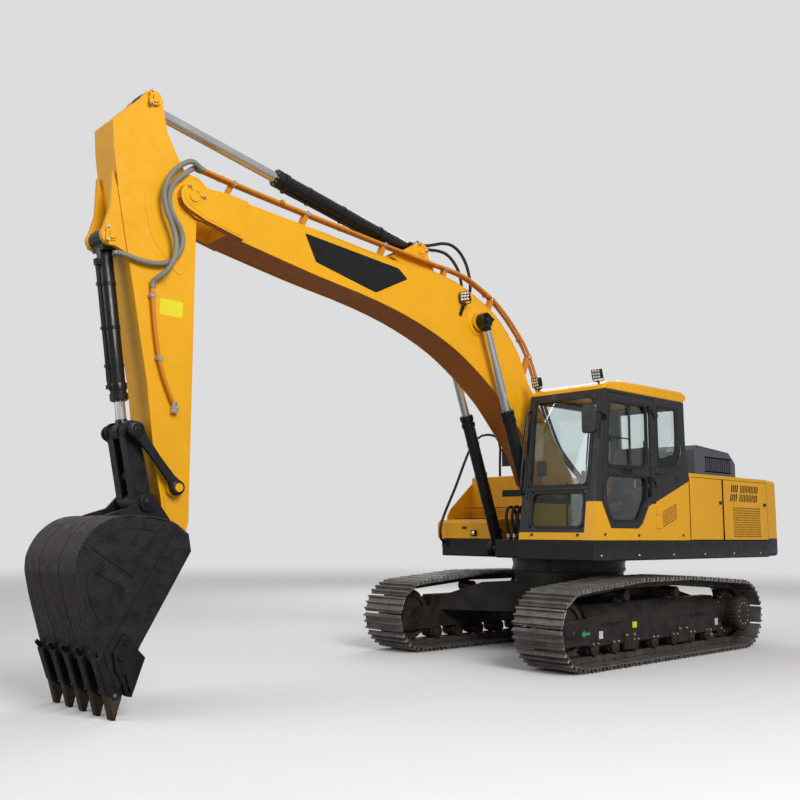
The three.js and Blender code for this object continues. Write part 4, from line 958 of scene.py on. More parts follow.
# ---------------------------------------------------------------- engine house, tanks and hood
def dress_doors():
    """The radiator door is a pierced plate with a black sheet behind it as painted shade in its openings, and hinge
    pins; locks on all three doors, and louvres on the pump door over a black sheet of painted shade.
    """
    skin = bench("radiator_door", YELLOW, "radiator_door_skin")
    back = bench("radiator_door", BLACK, "radiator_door_back")
    front, rear = -1282, -2397
    low, high = 1276, 1984
    vents_a, open_a = slot_cuts(-1420, -1600, 4, 0.66)
    vents_b, open_b = slot_cuts(-1650, -2120, 12, 0.66)
    mesh_x, mesh_open = slot_cuts(-1500, -2200, 24, 0.66)
    columns = sorted({front, rear, *vents_a, *vents_b, *mesh_x})
    vent_rows = [(1735, 1825), (1845, 1935)]
    mesh_rows, row_open = slot_cuts(1300, 1670, 13, 0.62)
    rows = sorted({low, high, *mesh_rows, *(edge for pair in vent_rows for edge in pair)})
    vent_spans = [sorted((vents[i], vents[i + 1])) for vents, opened in ((vents_a, open_a), (vents_b, open_b))
                  for i in opened]
    mesh_spans = [sorted((mesh_x[i], mesh_x[i + 1])) for i in mesh_open]
    row_spans = [(mesh_rows[i], mesh_rows[i + 1]) for i in row_open]
    holes = set()
    for i in range(len(columns) - 1):
        for j in range(len(rows) - 1):
            x, z = (columns[i] + columns[i + 1]) / 2, (rows[j] + rows[j + 1]) / 2
            in_vent = any(a < x < b for a, b in vent_spans) and any(a < z < b for a, b in vent_rows)
            in_mesh = any(a < x < b for a, b in mesh_spans) and any(a < z < b for a, b in row_spans)
            if in_vent or in_mesh:
                holes.add((i, j))

    def slanted(x, z, out):
        lean = 0 if x in (front, rear) else -0.28 * max(0, z - 1715)
        return on_left(x + lean, z, out)

    pierced(skin, slanted, columns, rows, holes, -2, 0)
    # A black sheet behind the pierced skin: painted shade in the openings.
    block(back, on_left, (rear + 6, front - 6), (low + 6, high - 6), (-38, -20), 3)
    for z in (low + 40, high - 40):
        lathe(back, on_left(-1266, z - 25, 0), (0, 0, 1), disc_profile(9, 0, 50, 2), 14)
    for door, place, span in (("radiator_door", on_left, (-2360, -2290)), ("battery_door", on_left, (-1225, -1165)),
                              ("pump_door", on_right, (-2360, -2290))):
        block(bench(door, BLACK, f"{door}_lock"), place, span, (1690, 1730), (0, 7), 2, 8)
    ribs = bench("pump_door", YELLOW, "pump_door_louvres")
    dark = bench("pump_door", BLACK, "pump_door_slots")
    grille(ribs, on_right, (-2180, -1480), (1480, 1860), 2, 10, 0.9, 0.4, 0, 4, 12)
    # A black sheet just behind the louvres: painted shade in the slots.
    block(dark, on_right, (-2176, -1484), (1484, 1856), (-2, 0.8), 0.3)


def dress_hood():
    grey = bench("engine_hood", HOOD_SKY_REFLECTION, "hood_cap")
    slats = bench("engine_hood", CHARCOAL, "hood_slats")
    dark = bench("engine_hood", BLACK, "hood_slots")

    def on_hood_left(x, z, out):
        return swing(x, 985 + out - 3, z)

    def on_hood_right(x, z, out):
        return swing(x, -340 - out + 3, z)

    for place in (on_hood_left, on_hood_right):
        grille(slats, place, (-1500, -2190), (2120, 2290), 15, 1, 0.55, 0.96, -4, 3, 12)
        # A black sheet just behind the slats: painted shade in the slots.
        block(dark, place, (-2200, -1490), (2112, 2298), (-6, -2.5), 0.5)
    # The cap along the hood's top carries the same painted sky reflection.
    ridge = [(-1296, 2352), (-1350, 2412), (-2140, 2364), (-2292, 2244), (-2292, 2262), (-2140, 2384),
             (-1348, 2433), (-1290, 2372)]

    def cap(x, z, y):
        return swing(x, y, z)

    slab(grey, cap, ridge, -334, 979, 9)


def dress_tanks():
    dark = bench("upper", BLACK, "tank_band")
    paint_work = bench("upper", YELLOW, "tank_trim")

    def on_tank(y, z, out):
        return swing(240 + out, y, z)

    block(dark, on_tank, (-820, -425), (1785, 1868), (-2, 2), 0.6, 6)
    lathe(dark, swing(-320, -900, 2044), (0, 0, 1), [(62, 0), (62, 14), (54, 20), (54, 44), (46, 50)], 32)
    lathe(dark, swing(-890, -900, 2074), (0, 0, 1), disc_profile(70, 0, 16, 4), 32)
    for x in (-950, -830):
        for y in (-960, -840):
            bolt(dark, swing(x, y, 2074), (0, 0, 1), 18)
    for k in range(9):
        block(dark, swing, (-1150 + k * 55, -1125 + k * 55), (-1150, -1020), (2044, 2048), 1)
    for z in (1320, 1470):
        block(paint_work, on_right, (-560, 200), (z, z + 8), (0, 5), 2)

    def on_box(y, z, out):
        return swing(870 + out, y, z)

    for y in (-1290, -470):
        block(paint_work, on_box, (y, y + 40), (1286, 1430), (0, 6), 2, 8)
    block(dark, on_box, (-915, -845), (1385, 1410), (0, 12), 3, 6)
    steps = bench("upper", BLACK, "tank_steps")
    for x, z in ((560, 1515), (400, 1650)):
        block(steps, swing, (x - 90, x + 90), (-1240, -700), (z - 8, z), 2)


def dress_deck():
    """Bolts and a black strip along the skirt, seams by the left side's doors, and a lamp at the front."""
    dark = bench("upper", BLACK, "deck_trim")
    zinc = bench("upper", ZINC, "deck_bolts")
    for x in (1240, 560, -120, -800, -1480, -2160):
        bolt(zinc, on_left(x, 1112, -1), (0, 1, 0), 17)
        bolt(zinc, on_right(min(x, 700), 1112, -1), (0, -1, 0), 17)
    block(dark, on_left, (-2380, 1330), (1236, 1246), (-3, 3), 1.5)
    for x in (-2396, -1252, -506):
        block(dark, on_left, (x - 3, x + 3), (1274, 1990 if x < -600 else 1900), (-6, 0.4), 0.2)
    lamp_case = bench("upper", BLACK, "deck_lamp")
    lamp = bench("upper", LENS, "deck_lamp_lens")
    block(lamp_case, from_front, (-760, -680), (1300, 1370), (872, 900), 4, 10)
    lathe(lamp, swing(899, -720, 1335), (1, 0, 0), [(26, 0), (25, 5), (16, 9), (4, 10)], 20)


def split_counterweight(work):
    """The skirt below the tail is dark blue."""
    cut_colour(work, swing(0, 0, 1292), (0, 0, 1), lambda centre: centre.z < 1.292)


def cut_colour(work, point, normal, second):
    """Splits the faces along a plane and gives those that second() picks the second material."""
    parts = work.verts[:] + work.edges[:] + work.faces[:]
    bmesh.ops.bisect_plane(work, geom=parts, plane_co=point, plane_no=normal, dist=1e-5)
    for face in work.faces:
        face.material_index = 1 if second(face.calc_center_median()) else 0


def below_cab_line(centre):
    """Yellow low on the side, on the front corner post and in a strip under the front glass."""
    x = (centre.x - SWING_X) * 1000
    if x > 1180 and centre.y < 1.225:
        return centre.z < 1.345
    if x > 205:
        return centre.z < 1.66
    return centre.z < 1.68 + (205 - x) / 647 * 0.237


def split_cab(work):
    cut_colour(work, swing(0, 0, 1660), (0, 0, 1), below_cab_line)
    cut_colour(work, swing(205, 0, 1680), (0.344, 0, 0.939), below_cab_line)
    cut_colour(work, swing(205, 0, 1680), (1, 0, 0), below_cab_line)
    cut_colour(work, swing(0, 1225, 0), (0, 1, 0), below_cab_line)
    cut_colour(work, swing(0, 0, 1345), (0, 0, 1), below_cab_line)


def shade_underside(work):
    """The faces that look down get a darker, redder copy of the yellow paint: painted shade."""
    for face in work.faces:
        face.material_index = 1 if face.normal.z < -0.45 else 0


# ---------------------------------------------------------------- boom and arm
def pin_cap(target, bolts, view, along, up, across, radius, side):
    """A pin's end with its dog-bone keeper and two bolts."""
    axis = (0, side, 0)
    lathe(target, view.at(along, up, side * across), axis, [(radius * 1.5, -12), (radius * 1.5, 2),
                                                             (radius * 1.42, 6), (radius, 6), (radius, 14),
                                                             (radius - 4, 18)], 36)

    def keeper(a, b, depth):
        return view.at(along + a, up + b, side * (across + 6 + depth))

    span = radius * 1.9
    waist = [(-span, 15), (-span * 0.45, 20), (0, 13), (span * 0.45, 20), (span, 15), (span, -15),
             (span * 0.45, -20), (0, -13), (-span * 0.45, -20), (-span, -15)]
    slab(target, keeper, round_corners([(a, b + radius * 1.05) for a, b in waist], 12), 0, 12, 2)
    for a in (-span * 0.78, span * 0.78):
        bolt(bolts, keeper(a, radius * 1.05, 12), axis, 20)


def grease_fitting(target, place, axis):
    lathe(target, place, axis, [(9, 0), (9, 8), (4, 8), (4, 16), (6, 18), (3, 22)], 10)


BOOM_TOP = [(5520, 210), (5300, 300), (4515, 590), (3640, 900), (3165, 1120), (2785, 1235), (2515, 1270),
            (2110, 1270), (1745, 1160), (1545, 1060), (1290, 860)]
BOOM_PIPE = [(5768, 264), (5443, 369), (4796, 615), (3409, 1115), (2700, 1375), (2480, 1405), (2120, 1408),
             (1748, 1325), (1431, 1190), (1100, 930)]
BOOM_UNDER = [(585, -60), (855, 155), (1115, 275), (1595, 450), (2065, 540), (2510, 575), (3055, 530),
              (3610, 415), (4420, 175), (5175, -30)]


def height_on(line, x):
    points = sorted(line)
    for (ax, az), (bx, bz) in zip(points, points[1:]):
        if ax <= x <= bx:
            return az + (x - ax) / (bx - ax) * (bz - az)
    return points[-1][1]


def dress_boom():
    skin = bench("boom", YELLOW, "boom_trim")
    dark = bench("boom", BLACK, "boom_decals")
    zinc = bench("boom", ZINC, "boom_bolts")
    pins = bench("boom", YELLOW, "boom_pin_caps")
    pipes = bench("boom", PIPE_PAINTED_SHADE, "boom_pipe_runs")
    hexagon = round_corners([(4649, 463), (3530, 871), (3381, 842), (3680, 465), (4423, 293)], 22)
    for side in (1, -1):
        slab(dark, flank(BOOM, BOOM_FACE, side), hexagon, 0, 1, 0.3)
        for edge in (BOOM_TOP[2:-1], BOOM_UNDER[2:]):
            points = [BOOM.at(a, b + (-4 if edge is not BOOM_TOP[2:-1] else 0), side * 199) for a, b in edge]
            pipe(skin, points, 5, 8, 3)
        pin_cap(pins, zinc, BOOM, BOOM_LENGTH, 0, 236, 50, side)
        pin_cap(pins, zinc, BOOM, 3290, 1295, 128, 40, side)
        pin_cap(dark, dark, BOOM, 2310, 1030, 352, 36, side)
        lathe(pins, BOOM.at(2310, 1030, side * 199), (0, side, 0), [(150, 0), (150, 8), (140, 14), (112, 14)], 40)
        doubler = [(5175, -36), (5555, -116), *arc((BOOM_LENGTH, 0), 112, -90, 55), (5650, 150), (5485, 228),
                   (5290, 296), (5290, 100)]
        slab(skin, flank(BOOM, BOOM_DOUBLER_FACE, side),
             inset(doubler, 22), 0, 5, 2)
    planes = ((196, 237), (146, 188))
    for plane, nose in planes:
        route = [BOOM.at(a, b, nose if a > 4796 else plane) for a, b in BOOM_PIPE]
        pipe(pipes, route, 17, 16, 6)
        for a in (5600, 5000, 4300, 3100, 2300, 1600):
            lathe(pipes, BOOM.at(a, height_on(BOOM_PIPE, a), nose if a > 4796 else plane),
                  BOOM.way(*pipe_slope(a)), disc_profile(21, -16, 16, 3), 16)
    for a in (5480, 4700, 3780, 2950, 2200, 1390):
        low, high = height_on(BOOM_TOP, a), height_on(BOOM_PIPE, a)
        near, far = (172, 250) if a > 4796 else (129, 213)
        foot_far = 198 if a > 4796 else 196
        block(pipes, BOOM.at, (a - 24, a + 24), (low + 1, high), (near, foot_far), 3)
        block(zinc, BOOM.at, (a - 20, a + 20), (high - 22, high + 22), (near - 2, far + 2), 5, 8)
        bolt(zinc, BOOM.at(a, high + 20, (near + far) / 2), BOOM.way(0, 1), 18)
    work_light("boom", BOOM.at(2654, 1122, 268), (1, 0.5, -0.2), "boom_light")
    bracket = bench("boom", BLACK, "boom_light_bracket")
    block(bracket, BOOM.at, (2560, 2600), (940, 1060), (200, 216), 3, 8)
    pipe(bracket, [BOOM.at(2585, 1040, 210), BOOM.at(2600, 1060, 250), BOOM.at(2640, 1050, 268)], 9, 10, 4)


def pipe_slope(a):
    ahead = height_on(BOOM_PIPE, min(a + 20, 5768)) - height_on(BOOM_PIPE, a - 20)
    return (40, ahead)


ARM_PIPE = [(840, 312), (890, 312), (1438, 212), (1700, 100), (1770, 62)]


def dress_arm():
    skin = bench("arm", YELLOW, "arm_trim")
    zinc = bench("arm", ZINC, "arm_bolts")
    pins = bench("arm", YELLOW, "arm_pin_caps")
    pipes = bench("arm", PIPE_PAINTED_SHADE, "arm_pipe_run")
    label = bench("arm", LABEL, "arm_label")
    for side in (1, -1):
        pin_cap(pins, zinc, ARM, -750, 380, 190, 36, side)
        pin_cap(pins, zinc, ARM, 470, 665, 152, 35, side)
        lathe(skin, ARM.at(0, 0, side * 164), (0, side, 0), [(205, 0), (205, 3), (199, 5.2), (150, 5.2)], 48)
        reinforce = [(-240, 60), (160, -40), (520, -60), (700, 60), (420, 330), (120, 420), (-180, 330)]
        slab(skin, flank(ARM, ARM_FACE, side),
             round_corners(reinforce, 60), 0, 4.5, 2)
        tip_plate = [(2350, -100), (2700, -105), (2860, -60), (2990, 0), (2860, 62), (2700, 72), (2350, 120),
                     (2250, 20)]
        slab(skin, flank(ARM, ARM_FACE, side),
             round_corners(tip_plate, 30), 0, 4.5, 2)
    pipe(pipes, [ARM.at(a, b, 196) for a, b in ARM_PIPE], 17, 16, 6)
    for a in (900, 1400):
        b = height_on(ARM_PIPE, a)
        block(zinc, ARM.at, (a - 20, a + 20), (b - 24, b + 24), (165.5, 216), 4, 8)
        bolt(zinc, ARM.at(a, b + 22, 190), ARM.way(0, 1), 16)
    block(zinc, ARM.at, (1765, 1830), (30, 86), (165.5, 214), 5, 10)
    lathe(zinc, ARM.at(1765, 62, 196), ARM.way(-1, 0.3), disc_profile(24, -4, 26, 3), 6)
    slab(label, flank(ARM, ARM_FACE + 0.5), rectangle((900, 15), (1035, 225), 14), 0, 1, 0.3)


# ---------------------------------------------------------------- hydraulic cylinders
RAMS = {
    "boom": dict(tube=1606, tube_radius=67, rod_radius=47, eye_half=50, eye_radius=80,
                 rod_eye_half=48, rod_eye_radius=85),
    "arm": dict(tube=1840, tube_radius=75, rod_radius=50, eye_half=85, eye_radius=90,
                rod_eye_half=60, rod_eye_radius=88),
    "bucket": dict(tube=1310, tube_radius=62, rod_radius=42, eye_half=104, eye_radius=75,
                   rod_eye_half=44, rod_eye_radius=72),
}


def dress_ram(name, kind, base, eye, plane=0, port_side=1):
    """Barrel, gland with its bolts, rod, both eyes, and the steel pipe along the barrel."""
    ram = RAMS[kind]
    reach = math.dist(base, eye)
    view = Drawing(base, math.degrees(math.atan2(eye[1] - base[1], eye[0] - base[0])))
    axis = view.way(1, 0)
    radius, tube = ram["tube_radius"], ram["tube"]
    rod_radius, rod_eye = ram["rod_radius"], ram["rod_eye_radius"]
    barrel = bench(f"{name}_cylinder", BLACK, f"{name}_barrel")
    bolts = bench(f"{name}_cylinder", WORN_BOLT, f"{name}_gland_bolts")
    start = view.at(0, 0, plane)
    lathe(barrel, start, axis, [(radius * 0.6, 60), (radius - 8, 72), (radius, 84), (radius, tube - 150),
                                (radius + 9, tube - 147), (radius + 10, tube - 144), (radius + 10, tube - 96),
                                (radius + 2, tube - 92), (radius + 2, tube - 70), (radius + 10, tube - 66),
                                (radius + 10, tube - 15), (radius + 7, tube - 12), (rod_radius + 14, tube - 12),
                                (rod_radius + 12, tube - 1), (rod_radius + 0.6, tube)], 48)
    for k in range(10):
        angle = math.tau * k / 10
        out = view.at(tube - 12, math.cos(angle) * (radius - 6), plane + math.sin(angle) * (radius - 6))
        bolt(bolts, out, axis, 15)
    across = Vector((0, 1, 0))
    half = ram["eye_half"]
    lathe(barrel, start - across * (half / 1000), across, disc_profile(ram["eye_radius"], 0, 2 * half, 5), 48)
    neck = [(0, -radius * 0.74), (ram["eye_radius"] + 32, -radius * 0.9), (ram["eye_radius"] + 32, radius * 0.9),
            (0, radius * 0.74)]
    slab(barrel, flank(view, plane), neck, -half, half, 12)
    rod = bench(f"{name}_rod", CHROME, f"{name}_piston_rod")
    end = bench(f"{name}_rod", BLACK, f"{name}_rod_eye")
    lathe(rod, start, axis, [(rod_radius, tube - 40), (rod_radius, reach - rod_eye - 18)], 48)
    lathe(end, start, axis, [(rod_radius + 3, reach - rod_eye - 26), (rod_radius + 6, reach - rod_eye - 20),
                             (rod_radius + 6, reach - rod_eye * 0.55)], 40)
    far = view.at(reach, 0, plane)
    rod_half = ram["rod_eye_half"]
    lathe(end, far - across * (rod_half / 1000), across,
          disc_profile(rod_eye, 0, 2 * rod_half, 5), 48)
    grease_fitting(end, view.at(reach, (rod_eye - 2) * port_side, plane), view.way(0, port_side))
    steel = bench(f"{name}_cylinder", BLACK, f"{name}_barrel_pipe")
    clamps = bench(f"{name}_cylinder", BLACK, f"{name}_pipe_clamps")
    high = (radius + 18) * port_side

    def beside(a, b, out=0.0):
        return view.at(a, b, plane + out)

    low = high - 3 * port_side
    block(steel, beside, (tube - 138, tube - 104), (radius * port_side * 0.9, high + 14 * port_side), (-22, 22), 4)
    pipe(steel, [beside(tube - 120, high - 4 * port_side), beside(tube - 190, high), beside(tube - 320, low),
                 beside(tube * 0.45, low), beside(260, low), beside(200, high)], 11, 12, 4)
    block(steel, beside, (165, 215), (radius * port_side * 0.9, (radius + 27) * port_side), (-28, 28), 4)
    for share in (0.28, 0.55, 0.78):
        a = tube * share
        lathe(clamps, view.at(a - 14, 0, plane), axis, [(radius - 2, 0), (radius + 4, 0), (radius + 4, 28),
                                                        (radius - 2, 28)], 40, False)
        block(clamps, beside, (a - 14, a + 14), (radius * port_side, (radius + 30) * port_side), (-14, 14), 3)
        bolt(bolts, beside(a, (radius + 30) * port_side), view.way(0, port_side), 13)


def dress_rams():
    boom_base, boom_eye = (905, 1158), BOOM.pin_at(2310, 1030)
    dress_ram("left_boom", "boom", boom_base, boom_eye, 302)
    dress_ram("right_boom", "boom", boom_base, boom_eye, -302)
    dress_ram("arm", "arm", BOOM.pin_at(3290, 1295), ARM.pin_at(-750, 380), 0, -1)
    dress_ram("bucket", "bucket", ARM.pin_at(470, 665), ARM.pin_at(1995, 400), 0)


# ---------------------------------------------------------------- bucket and its links
BUCKET_OUTLINE = [(590, -985), (720, -769), (800, -536), (860, -361), (899, -222), (919, -135), (918, -49),
                  (885, 47), (825, 140), (735, 216), (624, 262), (445, 274), (195, 232), (60, 138), (38, 6),
                  (430, -671), (520, -870)]


def bucket_half_at(along, up, wide=520, taper=0.09):
    """Half the width between the outer faces of the side plates, which close in towards the back."""
    lip, hinge = Vector((590, -985)), Vector((38, 6))
    edge = (lip - hinge).normalized()
    depth = (Vector((along, up)) - hinge).dot(Vector((-edge.y, edge.x)))
    return wide - taper * depth


def on_bucket_side(side):
    def place(a, b, depth):
        return BUCKET_PLACE.at(a, b, side * (bucket_half_at(a, b) + depth))
    return place


def smooth_back():
    """The bucket's closed outline with its curved back rounded, never past its furthest point."""
    back = smooth_path([(a, b, 0) for a, b in BUCKET_OUTLINE[1:14]], 4)
    furthest = max(a for a, _ in BUCKET_OUTLINE)
    return [(min(p.x, furthest), p.y) for p in back], BUCKET_OUTLINE[14:] + BUCKET_OUTLINE[:1]


def shrink_bucket(work):
    """Moves the bucket's back in by the thickness of the wear bands that lie on it."""
    target = inset(BUCKET_OUTLINE, 9)
    places = [(BUCKET_PLACE.at(*old), BUCKET_PLACE.at(*new)) for old, new in
              list(zip(BUCKET_OUTLINE, target))[1:13]]
    for vert in work.verts:
        for old, new in places:
            if abs(vert.co.x - old.x) < 0.002 and abs(vert.co.z - old.z) < 0.002:
                vert.co.x, vert.co.z = new.x, new.z


def dress_bucket():
    worn = bench("bucket", WORN, "bucket_wear_bands")
    dark = bench("bucket", BUCKET, "bucket_trim")
    steel = bench("bucket", TOOTH, "bucket_teeth_caps")
    bolts = bench("bucket", WORN_BOLT, "bucket_bolts")
    back, rest = smooth_back()
    inner = inset(back + rest, 10)[:len(back)]
    for low, high in ((-508, -178), (-169, 169), (178, 508)):
        rings = []
        for y in (low, high):
            outline = back + list(reversed(inner))
            rings.append([BUCKET_PLACE.at(a, b, math.copysign(min(abs(y), bucket_half_at(a, b) - 3), y))
                          for a, b in outline])
        shell(worn, rings)
    for side in (1, -1):
        place = on_bucket_side(side)
        band = [(44, 12), (72, 130), (152, 200), (700, -704), (648, -850), (592, -972), (524, -866), (438, -668)]
        slab(dark, place, band, -0.5, 9, 3)
        upper = round_corners([(812, 36), (740, 105), (640, 152), (510, 188), (400, 182), (294, 156),
                               (500, -179)], 24)
        frame_ring(dark, place, upper, inset(upper, 12), -1, 7)
        lower = round_corners([(798, -103), (544, -267), (667, -508), (740, -487), (806, -340), (846, -210)], 30)
        frame_ring(dark, place, lower, inset(lower, 12), -1, 7)
        cutter = [(490, -1020), (530, -1010), (582, -890), (625, -817), (646, -695), (560, -571), (435, -712),
                  (395, -750)]
        cutter_face = flank(BUCKET_PLACE, CUTTER_FACE, side)
        slab(dark, cutter_face, inset(cutter, 8), -3, 4, 3)
        slab(dark, cutter_face, inset(cutter, 34), 3, 9, 3)
        for a, b in ((512, -930), (560, -842), (590, -740), (555, -640)):
            bolt(dark, cutter_face(a, b, 8), (0, side, 0), 30, 14)
        pin_cap(dark, bolts, BUCKET_PLACE, 0, 0, 216, 40, side)
        lathe(dark, BUCKET_PLACE.at(255, 375, side * 214), (0, side, 0),
              [(74, 0), (74, 10), (66, 16), (48, 16), (46, 10), (34, 10), (34, 20), (20, 24)], 36)
    for i in range(5):
        y = (i - 2) * 232
        adapter = round_corners([(762, -742), (716, -716), (640, -832), (566, -890), (530, -985), (552, -1012),
                                 (600, -1044), (672, -990)], 12)
        slab(dark, BUCKET_PLACE.at, adapter, y - 50, y + 50, 10)
        tooth = [(534, -968), (672, -975), (660, -1020), (614, -1170), (586, -1170), (548, -1045)]
        slab(steel, BUCKET_PLACE.at, tooth, y - 44, y + 44, 15)
        for side in (1, -1):
            lathe(bolts, BUCKET_PLACE.at(604, -1000, y + side * 43), (0, side, 0), disc_profile(14, 0, 10, 2), 16)
        hook = [(735, -735), (760, -742), (800, -700), (782, -676), (748, -700)]
        slab(dark, BUCKET_PLACE.at, hook, y - 9, y + 9, 2)


def dress_links():
    """Slender levers with round bosses, the boxed link, and pins with grooved caps."""
    upper, lower = ARM.at(1995, 400), BUCKET_PLACE.at(255, 375)
    across = Vector((0, 1, 0))
    start, end = (2425, 20), (1995, 400)
    lever = Drawing(ARM.pin_at(*start), ARM_TILT + math.degrees(math.atan2(end[1] - start[1], end[0] - start[0])))
    reach = math.dist(start, end)
    outline = [*arc((0, 0), 62, 60, 300, 12), (90, -40), (reach / 2, -34), (reach - 95, -42),
               *arc((reach, 0), 66, -122, 122, 12), (reach - 95, 42), (reach / 2, 34), (90, 40)]
    for side, name in ((1, "left"), (-1, "right")):
        work = bench("side_links", BUCKET, f"{name}_lever")
        slab(work, flank(lever, 0, side), outline, 215, 244, 7)
        for place, radius in ((lever.at(0, 0), 56), (lever.at(reach, 0), 60)):
            lathe(work, place + across * (side * 0.2425), (0, side, 0),
                  [(radius, 0), (radius, 10), (radius - 6, 14), (radius - 16, 14), (radius - 18, 9),
                   (radius - 28, 9), (radius - 30, 15), (12, 18)], 36)
        lathe(work, upper + across * (side * 0.002), (0, side, 0), [(34, 0), (34, 214)], 24)
    dark = bench("bucket_link", BUCKET, "bucket_link_trim")
    for y in (-160, 132):
        lathe(dark, upper + across * (y / 1000), across, disc_profile(80, 0, 28, 5), 40)
    lathe(dark, lower + across * -0.158, across, disc_profile(82, 0, 316, 7), 40)


# ---------------------------------------------------------------- undercarriage
FRAME_SIDE = 1215
YOKE_SIDE = 1230
ROLLER_PLACES = (1208, 848, 484, 104, -298, -664, -1027)
ROLLER_HEIGHT = 195


def dress_side_frame(sign):
    """Rollers with their brackets, guards, slots and plain stickers on one side frame."""
    side = "left" if sign > 0 else "right"
    dark = bench("undercarriage", DUSTY, f"{side}_frame_trim")
    steel = bench("undercarriage", WHEEL, f"{side}_rollers")
    bolts = bench("undercarriage", WORN_BOLT, f"{side}_frame_bolts")
    axis = (0, sign, 0)

    def face(x, z, out):
        return swing(x, sign * (FRAME_SIDE + out), z)

    plate = [(-1270, 262), (1290, 262), (1300, 280), (1300, 455), (1270, 478), (-1250, 478), (-1285, 440),
             (-1285, 290)]
    frame_ring(dark, face, plate, inset(plate, 20), -1, 5)
    for low, high in ((262, 274), (430, 478)):
        block(dark, face, (-1268, 1282), (low, high), (-1, 4), 2)
    for x in (1010, 850, -700, -860):
        opening = rectangle((x - 62, 410), (x + 62, 446), 16)
        frame_ring(dark, face, opening, inset(opening, 8), 3, 10)
    for x in (330, 200, -180):
        block(dark, face, (x - 45, x + 45), (478, 500), (-40, 8), 3, 6)
    for x in ROLLER_PLACES:
        lathe(steel, swing(x, sign * (FRAME_SIDE - 6), ROLLER_HEIGHT), axis,
              [(64, 0), (66, 3), (58, 8), (34, 10), (30, 16), (12, 18)], 28)
        for inner, outer in ((-188, -150), (-82, -44)):
            lathe(steel, swing(x, sign * FRAME_SIDE, ROLLER_HEIGHT), axis,
                  [(68, inner), (78, inner + 5), (78, outer - 5), (68, outer)], 32)
        block(dark, face, (x - 60, x + 60), (205, 262), (-30, 7), 4, 12)
        for offset in (-40, 40):
            bolt(bolts, face(x + offset, 240, 7), axis, 20)
    for x in (600, -450):
        guard = [(x - 110, 318), (x + 110, 318), (x + 92, 148), (x - 92, 148)]
        slab(dark, face, round_corners(guard, 12), 8, 16, 3)
        for offset in (-72, 72):
            bolt(bolts, face(x + offset, 292, 16), axis, 24)
    for x in CARRIERS:
        lathe(steel, swing(x, sign * TRACK_MIDDLE, CARRIER_HEIGHT), axis,
              [(30, 100), (56, 96), (56, 44), (48, 40), (48, -40), (56, -44), (56, -100)], 28)
    if sign > 0:
        white = bench("undercarriage", WHITE, "frame_stickers")
        yellow = bench("undercarriage", LABEL, "frame_label")
        green = bench("undercarriage", GREEN, "frame_arrow")
        for x in (1108, -1222):
            block(white, face, (x - 34, x + 34), (284, 360), (-0.5, 1.2), 0.2)
        block(yellow, face, (456, 536), (358, 420), (-0.5, 1.2), 0.2)

        def yoke(x, z, out):
            return swing(x, YOKE_SIDE + out, z)

        arrow = [(1460, 350), (1405, 388), (1405, 363), (1318, 363), (1318, 337), (1405, 337), (1405, 312)]
        slab(green, yoke, arrow, -0.5, 1.2, 0.2)
    for across in (130, -130):
        lathe(dark, swing(AXLE_REACH, sign * TRACK_MIDDLE + across, AXLE_HEIGHT), (0, math.copysign(1, across), 0),
              [(96, -6), (96, 4), (88, 8), (60, 8), (56, 3), (12, 3)], 32)


def dress_drive(sign):
    """The ridged hub cover with its rings of bolts."""
    side = "left" if sign > 0 else "right"
    steel = bench("undercarriage", DUSTY, f"{side}_hub_cover")
    bolts = bench("undercarriage", WORN_BOLT, f"{side}_hub_bolts")
    axis = (0, sign, 0)
    hub = swing(-AXLE_REACH, sign * TRACK_MIDDLE, AXLE_HEIGHT)
    lathe(steel, hub, axis, [(150, 112), (188, 114), (191, 118), (191, 236), (186, 245), (172, 251), (150, 252),
                             (146, 248), (96, 248), (92, 253), (40, 254), (20, 254)], 60)
    for k in range(30):
        angle = math.tau * k / 30
        rim = hub + Vector((math.cos(angle) * 0.190, sign * 0.150, math.sin(angle) * 0.190))
        lathe(steel, rim, axis, [(8, 0), (11, 4), (11, 82), (7, 88)], 8)
    for k in range(12):
        angle = math.tau * (k + 0.5) / 12
        spot = hub + Vector((math.cos(angle) * 0.122, sign * 0.248, math.sin(angle) * 0.122))
        bolt(bolts, spot, axis, 20, 9)
    for k in range(20):
        angle = math.tau * k / 20
        spot = hub + Vector((math.cos(angle) * 0.225, sign * 0.0255, math.sin(angle) * 0.225))
        bolt(bolts, spot, axis, 20, 12)


def dress_centre():
    """Bolts round the swing ring and two weld beads round it."""
    bolts = bench("undercarriage", WORN_BOLT, "ring_bolts")
    dark = bench("undercarriage", DUSTY, "centre_trim")
    for k in range(36):
        angle = math.tau * k / 36
        bolt(bolts, swing(625 * math.cos(angle), 625 * math.sin(angle), 900), (0, 0, 1), 22, 14)
    for radius, height in ((663, 914), (663, 1010)):
        ring = [(radius - 4, 0), (radius + 5, 2), (radius + 5, 26), (radius - 4, 28)]
        lathe(dark, swing(0, 0, height), (0, 0, 1), ring, 72, False)


